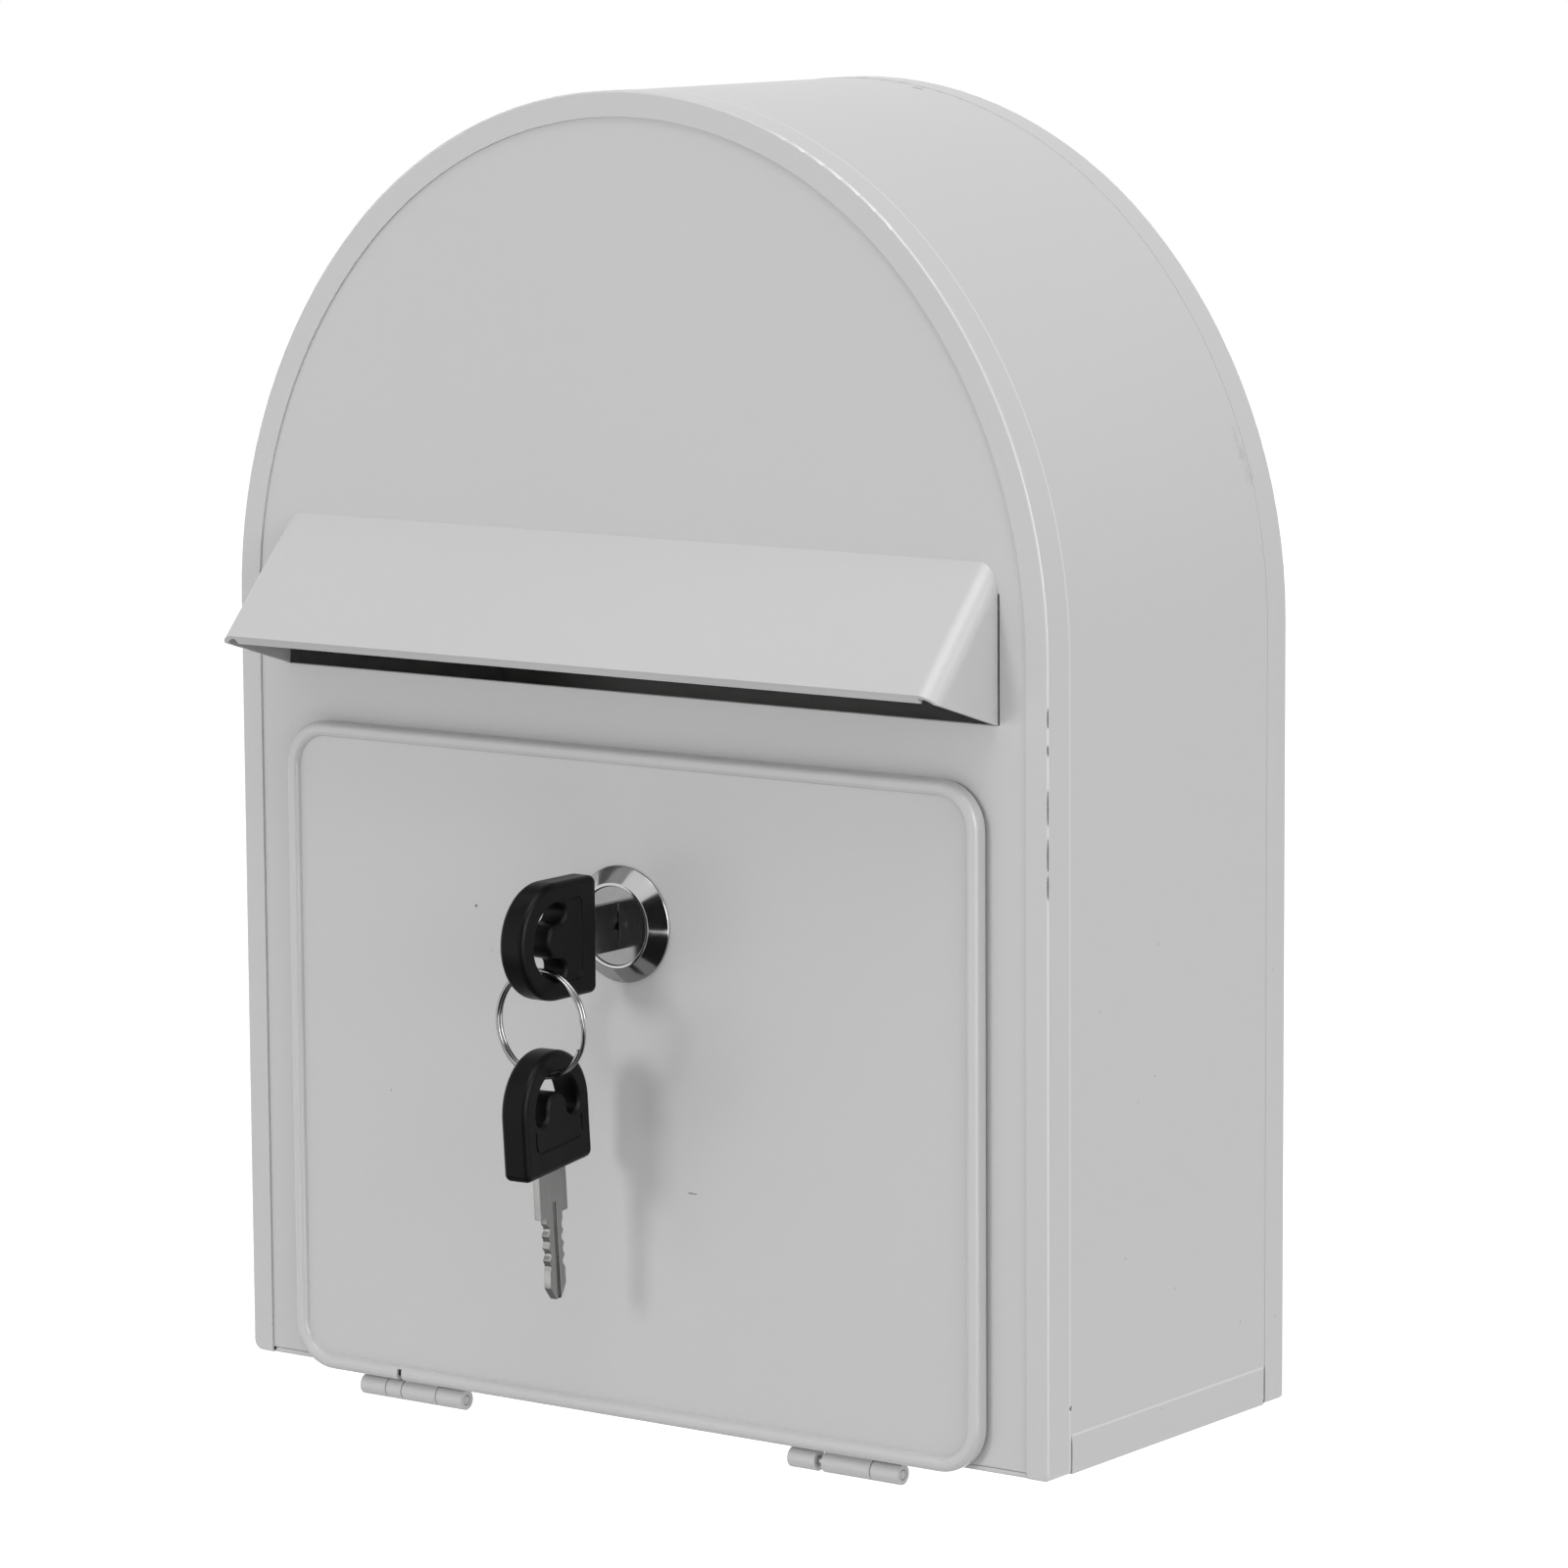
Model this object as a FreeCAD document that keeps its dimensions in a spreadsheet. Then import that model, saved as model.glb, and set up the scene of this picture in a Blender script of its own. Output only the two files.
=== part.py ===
import FreeCAD, Part
import math
import os
from types import SimpleNamespace

import Sketcher

# Wall mailbox: +X right, +Y towards the wall, +Z up; the wall face is the plane Y = 0.
# Box pieces are drawn with Z = 0 at the underside of the box and moved down by mount_height,
# so that the origin is the centre of the wall holes on the wall face.

DIMENSIONS = (
    ("mount_height", 130.0, "wall-hole centre above the underside of the box"),
    ("hole_spread", 120.0, "wall holes, centre to centre across"),
    ("hole_rise", 140.0, "wall holes, centre to centre in height"),
    ("hole_diameter", 6.0, "wall hole"),
    ("box_width", 200.0, "width over the front frame"),
    ("side_height", 158.0, "straight part of the sides"),
    ("arch_lift", 5.7, "how much taller the arch is than half the width"),
    ("crown_tighten", 4.0, "how much the crown radius is less than half the width"),
    ("box_depth", 84.8, "wall face to the front of the frame"),
    ("box_sheet", 0.5, "sheet of the shell, frame, panel and back"),
    ("lap_gap", 0.1, "gap between sheets that lap"),
    ("front_band", 7.7, "depth of the frame band over the shell"),
    ("rim_width", 5.1, "width of the frame lip"),
    ("back_band", 7.0, "depth of the back flange over the shell"),
    ("fold_round", 0.5, "outside radius of the frame and back folds"),
    ("foot_left", 2.2, "lower left corners of the frame and the back"),
    ("foot_right", 1.0, "lower right corners of the frame and the back"),
    ("floor_sheet", 1.0, "sheet of the bottom plate"),
    ("floor_flange", 8.0, "height of the bottom plate flanges"),
    ("floor_gap", 0.4, "gap from the bottom plate to the frame and back flanges"),
    ("slot_margin", 11.5, "end of the mail slot to the side of the box"),
    ("slot_bottom", 145.4, "mail slot lower edge"),
    ("slot_top", 176.3, "mail slot upper edge"),
    ("hood_gap", 0.35, "slit from the hood to each end of the slot"),
    ("hood_cover", 0.1, "hood over the upper edge of the slot"),
    ("slot_turn", 0.7, "tight corner arc of the slot, as a share of the hood bend"),
    ("hood_sheet", 0.8, "sheet of the hood"),
    ("hood_angle", 47.2, "fall of the hood from level, degrees"),
    ("hood_length", 31.5, "length of the hood down the slope"),
    ("hood_bend", 4.0, "bend from the hood top to its cheeks"),
    ("hood_flange", 10.0, "height of the hood flange behind the panel"),
    ("hem_length", 3.2, "length of the folded hem at the hood lip"),
    ("hem_open", 0.9, "gap inside the folded hem"),
    ("hem_inset", 4.0, "hem end to the outside of the cheek"),
    ("door_width", 171.6, "door width"),
    ("door_height", 135.0, "door height"),
    ("door_drop", 0.6, "lower edge of the door below the box"),
    ("door_corner", 9.5, "door corner radius"),
    ("door_sheet", 0.8, "sheet of the door"),
    ("door_gap", 1.8, "front panel to the back of the door field"),
    ("door_clear", 0.8, "front panel to the door rim"),
    ("door_rim", 2.95, "width of the door rim"),
    ("rim_proud", 1.5, "height of the door rim over the field"),
    ("rim_round", 1.3, "edge radius of the door rim"),
    ("opening_width", 152.0, "door opening width"),
    ("opening_bottom", 10.0, "door opening lower edge"),
    ("catch_reach", 22.4, "lock axis to the upper edge of the door opening"),
    ("opening_corner", 6.0, "door opening corner radius"),
    ("strike_width", 60.0, "width of the strike flange over the opening"),
    ("strike_play", 1.2, "strike flange to the cam"),
    ("hinge_left", 55.8, "left hinge centre from the middle"),
    ("hinge_right", 53.1, "right hinge centre from the middle"),
    ("hinge_length", 26.6, "length of a hinge"),
    ("hinge_end", 6.6, "length of each outer knuckle"),
    ("middle_left", 8.9, "middle knuckle of the left hinge"),
    ("middle_right", 11.6, "middle knuckle of the right hinge"),
    ("knuckle_gap", 0.2, "gap between knuckles"),
    ("knuckle_radius", 2.05, "outside radius of the knuckles"),
    ("hinge_clear", 0.4, "door edge to the knuckles"),
    ("hinge_stand", 1.2, "front panel to the hinge axis"),
    ("pin_radius", 1.0, "hinge pin radius"),
    ("pin_fit", 0.05, "radial play of the hinge pin"),
    ("leaf_sheet", 0.7, "sheet of the hinge leaves"),
    ("leaf_box_height", 9.0, "top of the box leaves above the box underside"),
    ("leaf_door_height", 14.0, "top of the door leaves above the box underside"),
    ("leaf_notch", 0.3, "play of a hinge neck in the door edge"),
    ("slit_left", 58.6, "seam slit in the lower door rim, from the middle"),
    ("slit_width", 1.1, "width of the seam slit"),
    ("slit_height", 2.4, "height of the seam slit"),
    ("lock_height", 99.6, "lock axis above the underside of the box"),
    ("bezel_diameter", 23.5, "lock bezel at the door"),
    ("bezel_edge", 0.5, "straight edge of the bezel"),
    ("bezel_height", 3.1, "bezel height over the door"),
    ("bezel_front", 17.1, "front diameter of the bezel cone"),
    ("face_diameter", 15.8, "face of the lock plug"),
    ("face_thick", 2.4, "thickness of the plug head"),
    ("face_sink", 0.5, "plug face behind the bezel front"),
    ("plug_diameter", 12.0, "lock plug"),
    ("plug_fit", 0.06, "radial play of the plug"),
    ("barrel_diameter", 18.8, "lock barrel"),
    ("barrel_play", 0.2, "radial play of the barrel in the door"),
    ("lock_length", 16.8, "lock barrel behind the door face"),
    ("nut_across", 22.0, "lock nut across flats"),
    ("nut_thick", 4.0, "lock nut"),
    ("nut_fit", 0.05, "radial play of the nut on the barrel"),
    ("cam_square", 7.0, "square tail of the plug"),
    ("cam_fit", 0.05, "play of the cam on the square, each side"),
    ("cam_gap", 0.1, "lock barrel to the cam"),
    ("cam_thick", 1.6, "lock cam"),
    ("cam_length", 30.0, "lock axis to the end of the cam"),
    ("cam_width", 14.0, "width of the cam"),
    ("washer_diameter", 10.0, "cam washer"),
    ("washer_thick", 0.8, "cam washer"),
    ("screw_diameter", 3.0, "cam screw"),
    ("screw_fit", 0.05, "radial play of the cam screw"),
    ("screw_reach", 2.8, "cam screw into the plug"),
    ("head_diameter", 6.2, "cam screw head"),
    ("head_height", 2.0, "cam screw head"),
    ("driver_width", 0.8, "driver slot in the cam screw head"),
    ("wafer_count", 5.0, "wafers in the plug"),
    ("wafer_pitch", 2.5, "wafer spacing"),
    ("wafer_thick", 0.8, "wafer"),
    ("wafer_width", 5.0, "wafer"),
    ("wafer_height", 10.4, "wafer"),
    ("wafer_fit", 0.05, "play of a wafer in its slot, each side"),
    ("blade_length", 17.1, "key blade from shoulder to tip"),
    ("blade_width", 5.5, "key blade"),
    ("blade_thick", 1.6, "key blade"),
    ("blade_point", 2.6, "length of the pointed tip"),
    ("cut_depth", 0.7, "depth of the key cuts"),
    ("cut_pitch", 2.5, "spacing of the key cuts"),
    ("cut_start", 1.4, "key shoulder to the first cut"),
    ("cut_flank", 0.75, "length of the sloped side of a cut"),
    ("cut_floor", 0.75, "length of the floor of a cut"),
    ("cut_shallow", 0.42, "depth of every second key cut"),
    ("tip_width", 1.7, "width of the blunt key tip"),
    ("groove_width", 1.3, "groove along the blade"),
    ("groove_depth", 0.4, "groove along the blade"),
    ("groove_back", 2.6, "groove running past the key shoulder"),
    ("key_fit", 0.2, "play of the blade in the keyway, each side"),
    ("key_gap", 0.05, "key shoulder to the plug face"),
    ("shoulder_length", 9.3, "key shoulder"),
    ("shoulder_width", 9.6, "key shoulder"),
    ("tang_length", 6.0, "blade inside the bow"),
    ("tang_width", 6.9, "blade inside the bow"),
    ("tang_fit", 0.02, "play of the tang in the bow"),
    ("bow_length", 24.0, "key bow"),
    ("bow_width", 23.4, "key bow"),
    ("bow_thick", 6.0, "key bow"),
    ("bow_corner", 1.6, "inner corners of the key bow"),
    ("bow_round", 1.3, "edges of the key bow"),
    ("loop_radius", 5.5, "middle of the curved slot in the bow"),
    ("loop_width", 4.0, "width of the curved slot in the bow"),
    ("loop_ease", 0.6, "eased edges of the curved slot"),
    ("line_inset", 4.9, "moulded line of the bow to its flat end"),
    ("line_margin", 3.4, "ends of the moulded line to the sides of the bow"),
    ("line_turn", 1.2, "inside radius where the moulded line turns"),
    ("line_leg", 3.0, "turned ends of the moulded line"),
    ("line_width", 0.45, "moulded line"),
    ("line_depth", 0.25, "moulded line"),
    ("wire_diameter", 0.9, "key ring wire"),
    ("coil_pitch", 0.84, "spacing of the two coils"),
    ("ring_diameter", 22.0, "outside of the key ring"),
    ("ring_play", 1.5, "ring wire centre to the edge of the slot it hangs in"),
    ("ring_ahead", 0.4, "ring in front of the middle of the bow slot"),
    ("ring_shift", 1.4, "middle of the ring to the left of the lock axis"),
    ("spare_play", 1.2, "ring wire centre to the edge of the spare key slot"),
    ("spare_shift", 1.0, "spare key to the left of the lock axis"),
    ("spare_lean", 4.6, "spare key from upright, tip towards the door, degrees"),
    ("spare_yaw", 5.0, "spare key turned about its length, degrees"),
)


class Size:
    """A number with the sheet formula that gives it."""

    def __init__(self, value, formula, fixed=False):
        self.value = value
        self.formula = formula
        self.fixed = fixed

    @staticmethod
    def of(item):
        """Take a plain number or a size and give a size."""
        if isinstance(item, Size):
            return item
        return Size(float(item), f"({item})", True)

    def join(self, other, sign, value):
        """Give the size that a sum or a product of two sizes makes."""
        return Size(value, f"({self.formula} {sign} {other.formula})", self.fixed and other.fixed)

    def __add__(self, other):
        other = Size.of(other)
        return self.join(other, "+", self.value + other.value)

    def __sub__(self, other):
        other = Size.of(other)
        return self.join(other, "-", self.value - other.value)

    def __mul__(self, other):
        other = Size.of(other)
        return self.join(other, "*", self.value * other.value)

    def __truediv__(self, other):
        other = Size.of(other)
        return self.join(other, "/", self.value / other.value)

    def __neg__(self):
        return Size(-self.value, f"(0 - {self.formula})", self.fixed)

    def __radd__(self, other):
        return Size.of(other) + self

    def __rsub__(self, other):
        return Size.of(other) - self

    def __rmul__(self, other):
        return Size.of(other) * self

    def root(self):
        """Square root."""
        return Size(math.sqrt(self.value), f"sqrt({self.formula})", self.fixed)

    def sine(self):
        """Sine of an angle in degrees."""
        return Size(math.sin(math.radians(self.value)), f"sin({self.formula})", self.fixed)

    def cosine(self):
        """Cosine of an angle in degrees."""
        return Size(math.cos(math.radians(self.value)), f"cos({self.formula})", self.fixed)


def bind(item, path, size):
    """Tie one property of an object to the sheet."""
    item.setExpression(path, Size.of(size).formula)


class Outline:
    """A sketch on one of a body's own planes, with each point tied to the sheet."""

    def __init__(self, body, name, plane, offset=0.0, height=None, tilt=None):
        sketch = body.newObject("Sketcher::SketchObject", name)
        support = [item for item in body.Origin.OriginFeatures if item.Role == plane][0]
        sketch.AttachmentSupport = (support, [""])
        sketch.MapMode = "FlatFace"
        if tilt is not None:
            turn = FreeCAD.Rotation(FreeCAD.Vector(1, 0, 0), 1.0)
            sketch.AttachmentOffset = FreeCAD.Placement(FreeCAD.Vector(), turn)
            bind(sketch, "AttachmentOffset.Rotation.Angle", tilt)
            bind(sketch, "AttachmentOffset.Base.y", height)
        bind(sketch, "AttachmentOffset.Base.z", offset)
        self.sketch = sketch

    def fix(self, constraint, size):
        """Add a constraint and tie its value to the sheet."""
        index = self.sketch.addConstraint(constraint)
        if not size.fixed:
            self.sketch.setExpression(f"Constraints[{index}]", size.formula)

    def pin(self, geometry, end, point):
        """Hold one end of a curve at a point."""
        for kind, item in zip(("DistanceX", "DistanceY"), point):
            size = Size.of(item)
            self.fix(Sketcher.Constraint(kind, -1, 1, geometry, end, size.value), size)

    def circle(self, centre, radius):
        """Draw a full circle."""
        place = FreeCAD.Vector(*[Size.of(item).value for item in centre], 0)
        shape = Part.Circle(place, FreeCAD.Vector(0, 0, 1), radius.value)
        index = self.sketch.addGeometry(shape)
        self.pin(index, 3, centre)
        self.fix(Sketcher.Constraint("Radius", index, radius.value), radius)
        return self

    def loop(self, start, *legs):
        """Draw a closed run of legs, each (end,) or (end, centre, radius, turn)."""
        corners = [start] + [leg[0] for leg in legs[:-1]]
        joints = []
        for begin, leg in zip(corners, legs):
            first = FreeCAD.Vector(*[Size.of(item).value for item in begin], 0)
            last = FreeCAD.Vector(*[Size.of(item).value for item in leg[0]], 0)
            if len(leg) == 1:
                index = self.sketch.addGeometry(Part.LineSegment(first, last))
                joints.append((index, 1, 2))
                continue
            centre = FreeCAD.Vector(*[Size.of(item).value for item in leg[1]], 0)
            ends = (first, last) if leg[3] > 0 else (last, first)
            angles = [math.atan2(item.y - centre.y, item.x - centre.x) for item in ends]
            if angles[1] <= angles[0]:
                angles[1] += 2 * math.pi
            circle = Part.Circle(centre, FreeCAD.Vector(0, 0, 1), leg[2].value)
            index = self.sketch.addGeometry(Part.ArcOfCircle(circle, *angles))
            joints.append((index, 1, 2) if leg[3] > 0 else (index, 2, 1))
        for this, after in zip(joints, joints[1:] + joints[:1]):
            self.sketch.addConstraint(Sketcher.Constraint("Coincident", this[0], this[2], after[0], after[1]))
        for joint, corner in zip(joints, corners):
            self.pin(joint[0], joint[1], corner)
        for begin, joint, leg in zip(corners, joints, legs):
            if len(leg) > 1:
                self.hold_centre(joint[0], begin, leg)
        return self

    def hold_centre(self, geometry, begin, leg):
        """Hold the centre of an arc along the line that crosses its chord in the middle."""
        spans = [abs(Size.of(a).value - Size.of(b).value) for a, b in zip(begin, leg[0])]
        kind, item = ("DistanceX", leg[1][0]) if spans[1] >= spans[0] else ("DistanceY", leg[1][1])
        size = Size.of(item)
        self.fix(Sketcher.Constraint(kind, -1, 1, geometry, 3, size.value), size)

    def polygon(self, *points):
        """Draw a closed outline of straight legs."""
        ends = list(points[1:]) + [points[0]]
        return self.loop(points[0], *[(end,) for end in ends])

    def rectangle(self, left, right, low, high):
        """Draw a rectangle."""
        return self.polygon((left, low), (right, low), (right, high), (left, high))

    def rounded(self, left, right, low, high, radius):
        """Draw a rectangle with round corners."""
        inner_left = left + radius
        inner_right = right - radius
        inner_low = low + radius
        inner_high = high - radius
        return self.loop(
            (inner_left, low),
            ((inner_right, low),),
            ((right, inner_low), (inner_right, inner_low), radius, 1),
            ((right, inner_high),),
            ((inner_right, high), (inner_right, inner_high), radius, 1),
            ((inner_left, high),),
            ((left, inner_high), (inner_left, inner_high), radius, 1),
            ((left, inner_low),),
            ((inner_left, low), (inner_left, inner_low), radius, 1),
        )


FRONT = "XZ_Plane"
SIDE = "YZ_Plane"
LENGTH_TOLERANCE = 1e-4
QUARTER_TURN = 90

doc = FreeCAD.newDocument("WallMailbox")
sheet = doc.addObject("Spreadsheet::Sheet", "Dimensions")
table = {}
for row, (alias, number, meaning) in enumerate(DIMENSIONS, 1):
    sheet.set(f"A{row}", meaning)
    sheet.set(f"B{row}", str(number))
    sheet.setAlias(f"B{row}", alias)
    table[alias] = Size(number, f"Dimensions.{alias}")
doc.recompute()
d = SimpleNamespace(**table)
bodies = []


def new_body(label, x=0.0, y=0.0, z=0.0, yaw=0.0, tip=0.0):
    """Start a sub-part with its zero at a point of the box, heights from the box underside.

    A tip turns it about its own X axis and a yaw then about the upright, both in degrees.
    """
    body = doc.addObject("PartDesign::Body", label)
    body.Label = label
    spot = "; ".join(Size.of(item).formula for item in (x, y, z - d.mount_height))
    turn = "; ".join(Size.of(item).formula for item in (yaw, 0.0, tip))
    place = f"create(<<placement>>; create(<<vector>>; {spot}); create(<<rotation>>; {turn}))"
    body.setExpression("Placement", place)
    bodies.append(body)
    return body


def shape_feature(body, kind, name, outline, length=None, reverse=False, both=False):
    """Add a pad or a pocket of a sketch; no length means right through."""
    item = body.newObject(f"PartDesign::{kind}", name)
    item.Profile = outline.sketch
    if both:
        item.SideType = "Symmetric"
    if length is None:
        item.Type = "ThroughAll"
    else:
        bind(item, "Length", length)
    item.Reversed = reverse
    outline.sketch.Visibility = False
    doc.recompute()
    return item


def pad(body, name, outline, length, reverse=False, both=False):
    """Add material along the sketch normal."""
    return shape_feature(body, "Pad", name, outline, length, reverse, both)


def pocket(body, name, outline, length=None, reverse=False, both=False):
    """Take material away, against the sketch normal unless reversed."""
    return shape_feature(body, "Pocket", name, outline, length, reverse, both)


def revolve(body, name, outline, axis="H_Axis"):
    """Turn a sketch once round one of its own axes."""
    item = body.newObject("PartDesign::Revolution", name)
    item.Profile = outline.sketch
    item.ReferenceAxis = (outline.sketch, [axis])
    item.Angle = 360.0
    outline.sketch.Visibility = False
    doc.recompute()
    return item


def dress(body, kind, name, base, edges, size):
    """Round or bevel edges of the feature before."""
    item = body.newObject(f"PartDesign::{kind}", name)
    item.Base = (base, edges)
    bind(item, "Radius" if kind == "Fillet" else "Size", size)
    doc.recompute()
    return item


def edges_in_plane(feature, axis, value):
    """Name the edges that lie in a plane square to an axis."""
    names = []
    for index, edge in enumerate(feature.Shape.Edges, 1):
        box = edge.BoundBox
        low = getattr(box, f"{axis}Min")
        high = getattr(box, f"{axis}Max")
        if abs(low - value) < LENGTH_TOLERANCE and abs(high - value) < LENGTH_TOLERANCE:
            names.append(f"Edge{index}")
    return names


# Sizes that several pieces share
half = d.box_width / 2
nil = 0 * half
slot_half = half - d.slot_margin
opening_top = d.lock_height + d.catch_reach
panel_front = d.box_depth - d.box_sheet - d.lap_gap
panel_rear = panel_front - d.box_sheet
shell_inset = d.box_sheet + d.lap_gap
field_rear = panel_front + d.door_gap
field_front = field_rear + d.door_sheet
crest = field_front + d.rim_proud
rim_rear = panel_front + d.door_clear
hinge_depth = panel_front + d.hinge_stand
hinge_height = -(d.door_drop + d.hinge_clear + d.knuckle_radius)
bezel_depth = field_front + d.bezel_height
face_depth = bezel_depth - d.face_sink
barrel_rear = field_front - d.lock_length
cam_front = barrel_rear - d.cam_gap
cam_rear = cam_front - d.cam_thick
wire_radius = d.wire_diameter / 2
ring_radius = d.ring_diameter / 2 - wire_radius


# Arched outlines: straight sides, two wide side arcs and a tighter crown arc, all tangent
def arch_up(inset):
    """Give the legs from the right spring point over the crown to the left spring point."""
    side_extra = d.arch_lift + d.arch_lift * d.arch_lift / (2 * d.crown_tighten)
    spread = side_extra + d.crown_tighten
    rise = d.arch_lift + d.crown_tighten
    crown = half - d.crown_tighten - inset
    side = half + side_extra - inset
    joint_x = crown * (side_extra / spread)
    joint_z = d.side_height + rise + crown * (rise / spread)
    return (
        ((joint_x, joint_z), (-side_extra, d.side_height), side, 1),
        ((-joint_x, joint_z), (nil, d.side_height + rise), crown, 1),
        ((-(half - inset), d.side_height), (side_extra, d.side_height), side, 1),
    )


def arch_down(inset):
    """Give the legs from the left spring point back over the crown to the right one."""
    up = arch_up(inset)
    starts = [(half - inset, d.side_height)] + [leg[0] for leg in up[:-1]]
    return tuple((start, leg[1], leg[2], -1) for start, leg in zip(starts[::-1], up[::-1]))


def arch_closed(outline, inset, foot):
    """Draw an arch with a square foot."""
    edge = half - inset
    return outline.loop(
        (-edge, foot),
        ((edge, foot),),
        ((edge, d.side_height),),
        *arch_up(inset),
        ((-edge, foot),),
    )


def arch_footed(outline, inset):
    """Draw an arch with round lower corners."""
    edge = half - inset
    left = d.foot_left - inset
    right = d.foot_right - inset
    return outline.loop(
        (left - edge, inset),
        ((edge - right, inset),),
        ((edge, inset + right), (edge - right, inset + right), right, 1),
        ((edge, d.side_height),),
        *arch_up(inset),
        ((-edge, inset + left),),
        ((left - edge, inset), (left - edge, inset + left), left, 1),
    )


def make_shell():
    """The wrap: both sides and the arched top in one bent sheet."""
    body = new_body("shell_wrap")
    rear = d.box_sheet + d.lap_gap
    foot = d.floor_sheet + d.lap_gap
    outer = half - shell_inset
    inner = outer - d.box_sheet
    strip = Outline(body, "shell_section", FRONT, rear).loop(
        (outer, foot),
        ((outer, d.side_height),),
        *arch_up(shell_inset),
        ((-outer, foot),),
        ((-inner, foot),),
        ((-inner, d.side_height),),
        *arch_down(shell_inset + d.box_sheet),
        ((inner, foot),),
        ((outer, foot),),
    )
    pad(body, "shell_pad", strip, panel_rear - d.lap_gap - rear)


def make_front_frame():
    """The L-section frame: band over the shell and lip round the front."""
    body = new_body("front_frame")
    rear = d.box_depth - d.front_band
    outline = arch_footed(Outline(body, "frame_outline", FRONT, rear), nil)
    block = pad(body, "frame_block", outline, d.front_band)
    edges = edges_in_plane(block, "Y", -d.box_depth.value)
    dress(body, "Fillet", "frame_fold", block, edges, d.fold_round)
    hollow = arch_footed(Outline(body, "frame_hollow", FRONT, rear), d.box_sheet)
    pocket(body, "frame_inside", hollow, d.front_band - d.box_sheet, reverse=True)
    mouth = arch_closed(Outline(body, "frame_mouth", FRONT, rear), d.rim_width, -d.rim_width)
    pocket(body, "frame_open", mouth, d.front_band * 2, reverse=True)


def make_front_panel():
    """The flat front with the mail slot, the door opening and the strike flange."""
    body = new_body("front_panel")
    foot = d.floor_sheet + d.lap_gap
    outline = arch_closed(Outline(body, "panel_outline", FRONT, panel_rear), shell_inset, foot)
    pad(body, "panel_sheet", outline, d.box_sheet)
    bend = d.hood_bend
    cover = d.hood_cover
    drop = bend / d.hood_angle.cosine()
    tight = bend * d.slot_turn
    rise = drop - tight
    wide = (bend * bend - tight * tight + rise * rise) / (2 * (bend - tight))
    spread = wide - tight
    corner = slot_half - d.hood_gap - bend
    edge = corner + bend - cover
    knee = d.slot_top + cover - drop
    joint_x = corner + (tight - cover) * ((wide - bend) / spread)
    joint_z = knee + rise + (tight - cover) * (rise / spread)
    flank = corner + bend - wide
    mouth = Outline(body, "slot_outline", FRONT, panel_rear).loop(
        (-slot_half, d.slot_bottom),
        ((slot_half, d.slot_bottom),),
        ((slot_half, knee),),
        ((edge, knee),),
        ((joint_x, joint_z), (flank, knee), wide - cover, 1),
        ((corner, d.slot_top), (corner, knee + rise), tight - cover, 1),
        ((-corner, d.slot_top),),
        ((-joint_x, joint_z), (-corner, knee + rise), tight - cover, 1),
        ((-edge, knee), (-flank, knee), wide - cover, 1),
        ((-slot_half, knee),),
        ((-slot_half, d.slot_bottom),),
    )
    pocket(body, "slot_cut", mouth, both=True)
    side = d.opening_width / 2
    doorway = Outline(body, "opening_outline", FRONT, panel_rear)
    doorway.rounded(-side, side, d.opening_bottom, opening_top, d.opening_corner)
    pocket(body, "opening_cut", doorway, both=True)
    reach = d.strike_width / 2
    flange = Outline(body, "strike_outline", FRONT, panel_rear)
    flange.rectangle(-reach, reach, opening_top, opening_top + d.box_sheet)
    pad(body, "strike_flange", flange, panel_rear - cam_front - d.strike_play, reverse=True)


def make_back_panel():
    """The back sheet with its turned flange and the wall holes."""
    body = new_body("back_panel")
    block = pad(body, "back_block", arch_footed(Outline(body, "back_outline", FRONT), nil), d.back_band)
    dress(body, "Fillet", "back_fold", block, edges_in_plane(block, "Y", 0.0), d.fold_round)
    hollow = arch_footed(Outline(body, "back_hollow", FRONT, d.box_sheet), d.box_sheet)
    pocket(body, "back_inside", hollow, d.back_band, reverse=True)
    gap = half - d.rim_width
    mouth = Outline(body, "back_mouth", FRONT, d.box_sheet)
    mouth.rectangle(-gap, gap, -d.rim_width, d.box_sheet + d.lap_gap)
    pocket(body, "back_open", mouth, d.back_band, reverse=True)
    holes = Outline(body, "wall_hole_outline", FRONT)
    for across in (-1, 1):
        for up in (-1, 1):
            centre = (across * d.hole_spread / 2, d.mount_height + up * d.hole_rise / 2)
            holes.circle(centre, d.hole_diameter / 2)
    pocket(body, "wall_holes", holes, both=True)


def make_bottom_plate():
    """The floor with side flanges outside the shell and a flange against the back."""
    body = new_body("bottom_plate")
    rear = d.back_band + d.floor_gap
    front = d.box_depth - d.front_band - d.floor_gap
    inner = half - d.box_sheet
    tray = Outline(body, "tray_section", FRONT, rear).polygon(
        (-half, nil),
        (half, nil),
        (half, d.floor_flange),
        (inner, d.floor_flange),
        (inner, d.floor_sheet),
        (-inner, d.floor_sheet),
        (-inner, d.floor_flange),
        (-half, d.floor_flange),
    )
    pad(body, "tray_pad", tray, front - rear)
    tongue = half - d.rim_width - d.floor_gap
    back = d.box_sheet + d.lap_gap
    floor = Outline(body, "floor_outline", FRONT, back).rectangle(-tongue, tongue, nil, d.floor_sheet)
    pad(body, "floor_pad", floor, panel_front - back)
    lip = Outline(body, "rear_flange_outline", FRONT, back)
    lip.rectangle(-tongue, tongue, nil, d.floor_flange)
    pad(body, "rear_flange", lip, d.box_sheet)


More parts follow.
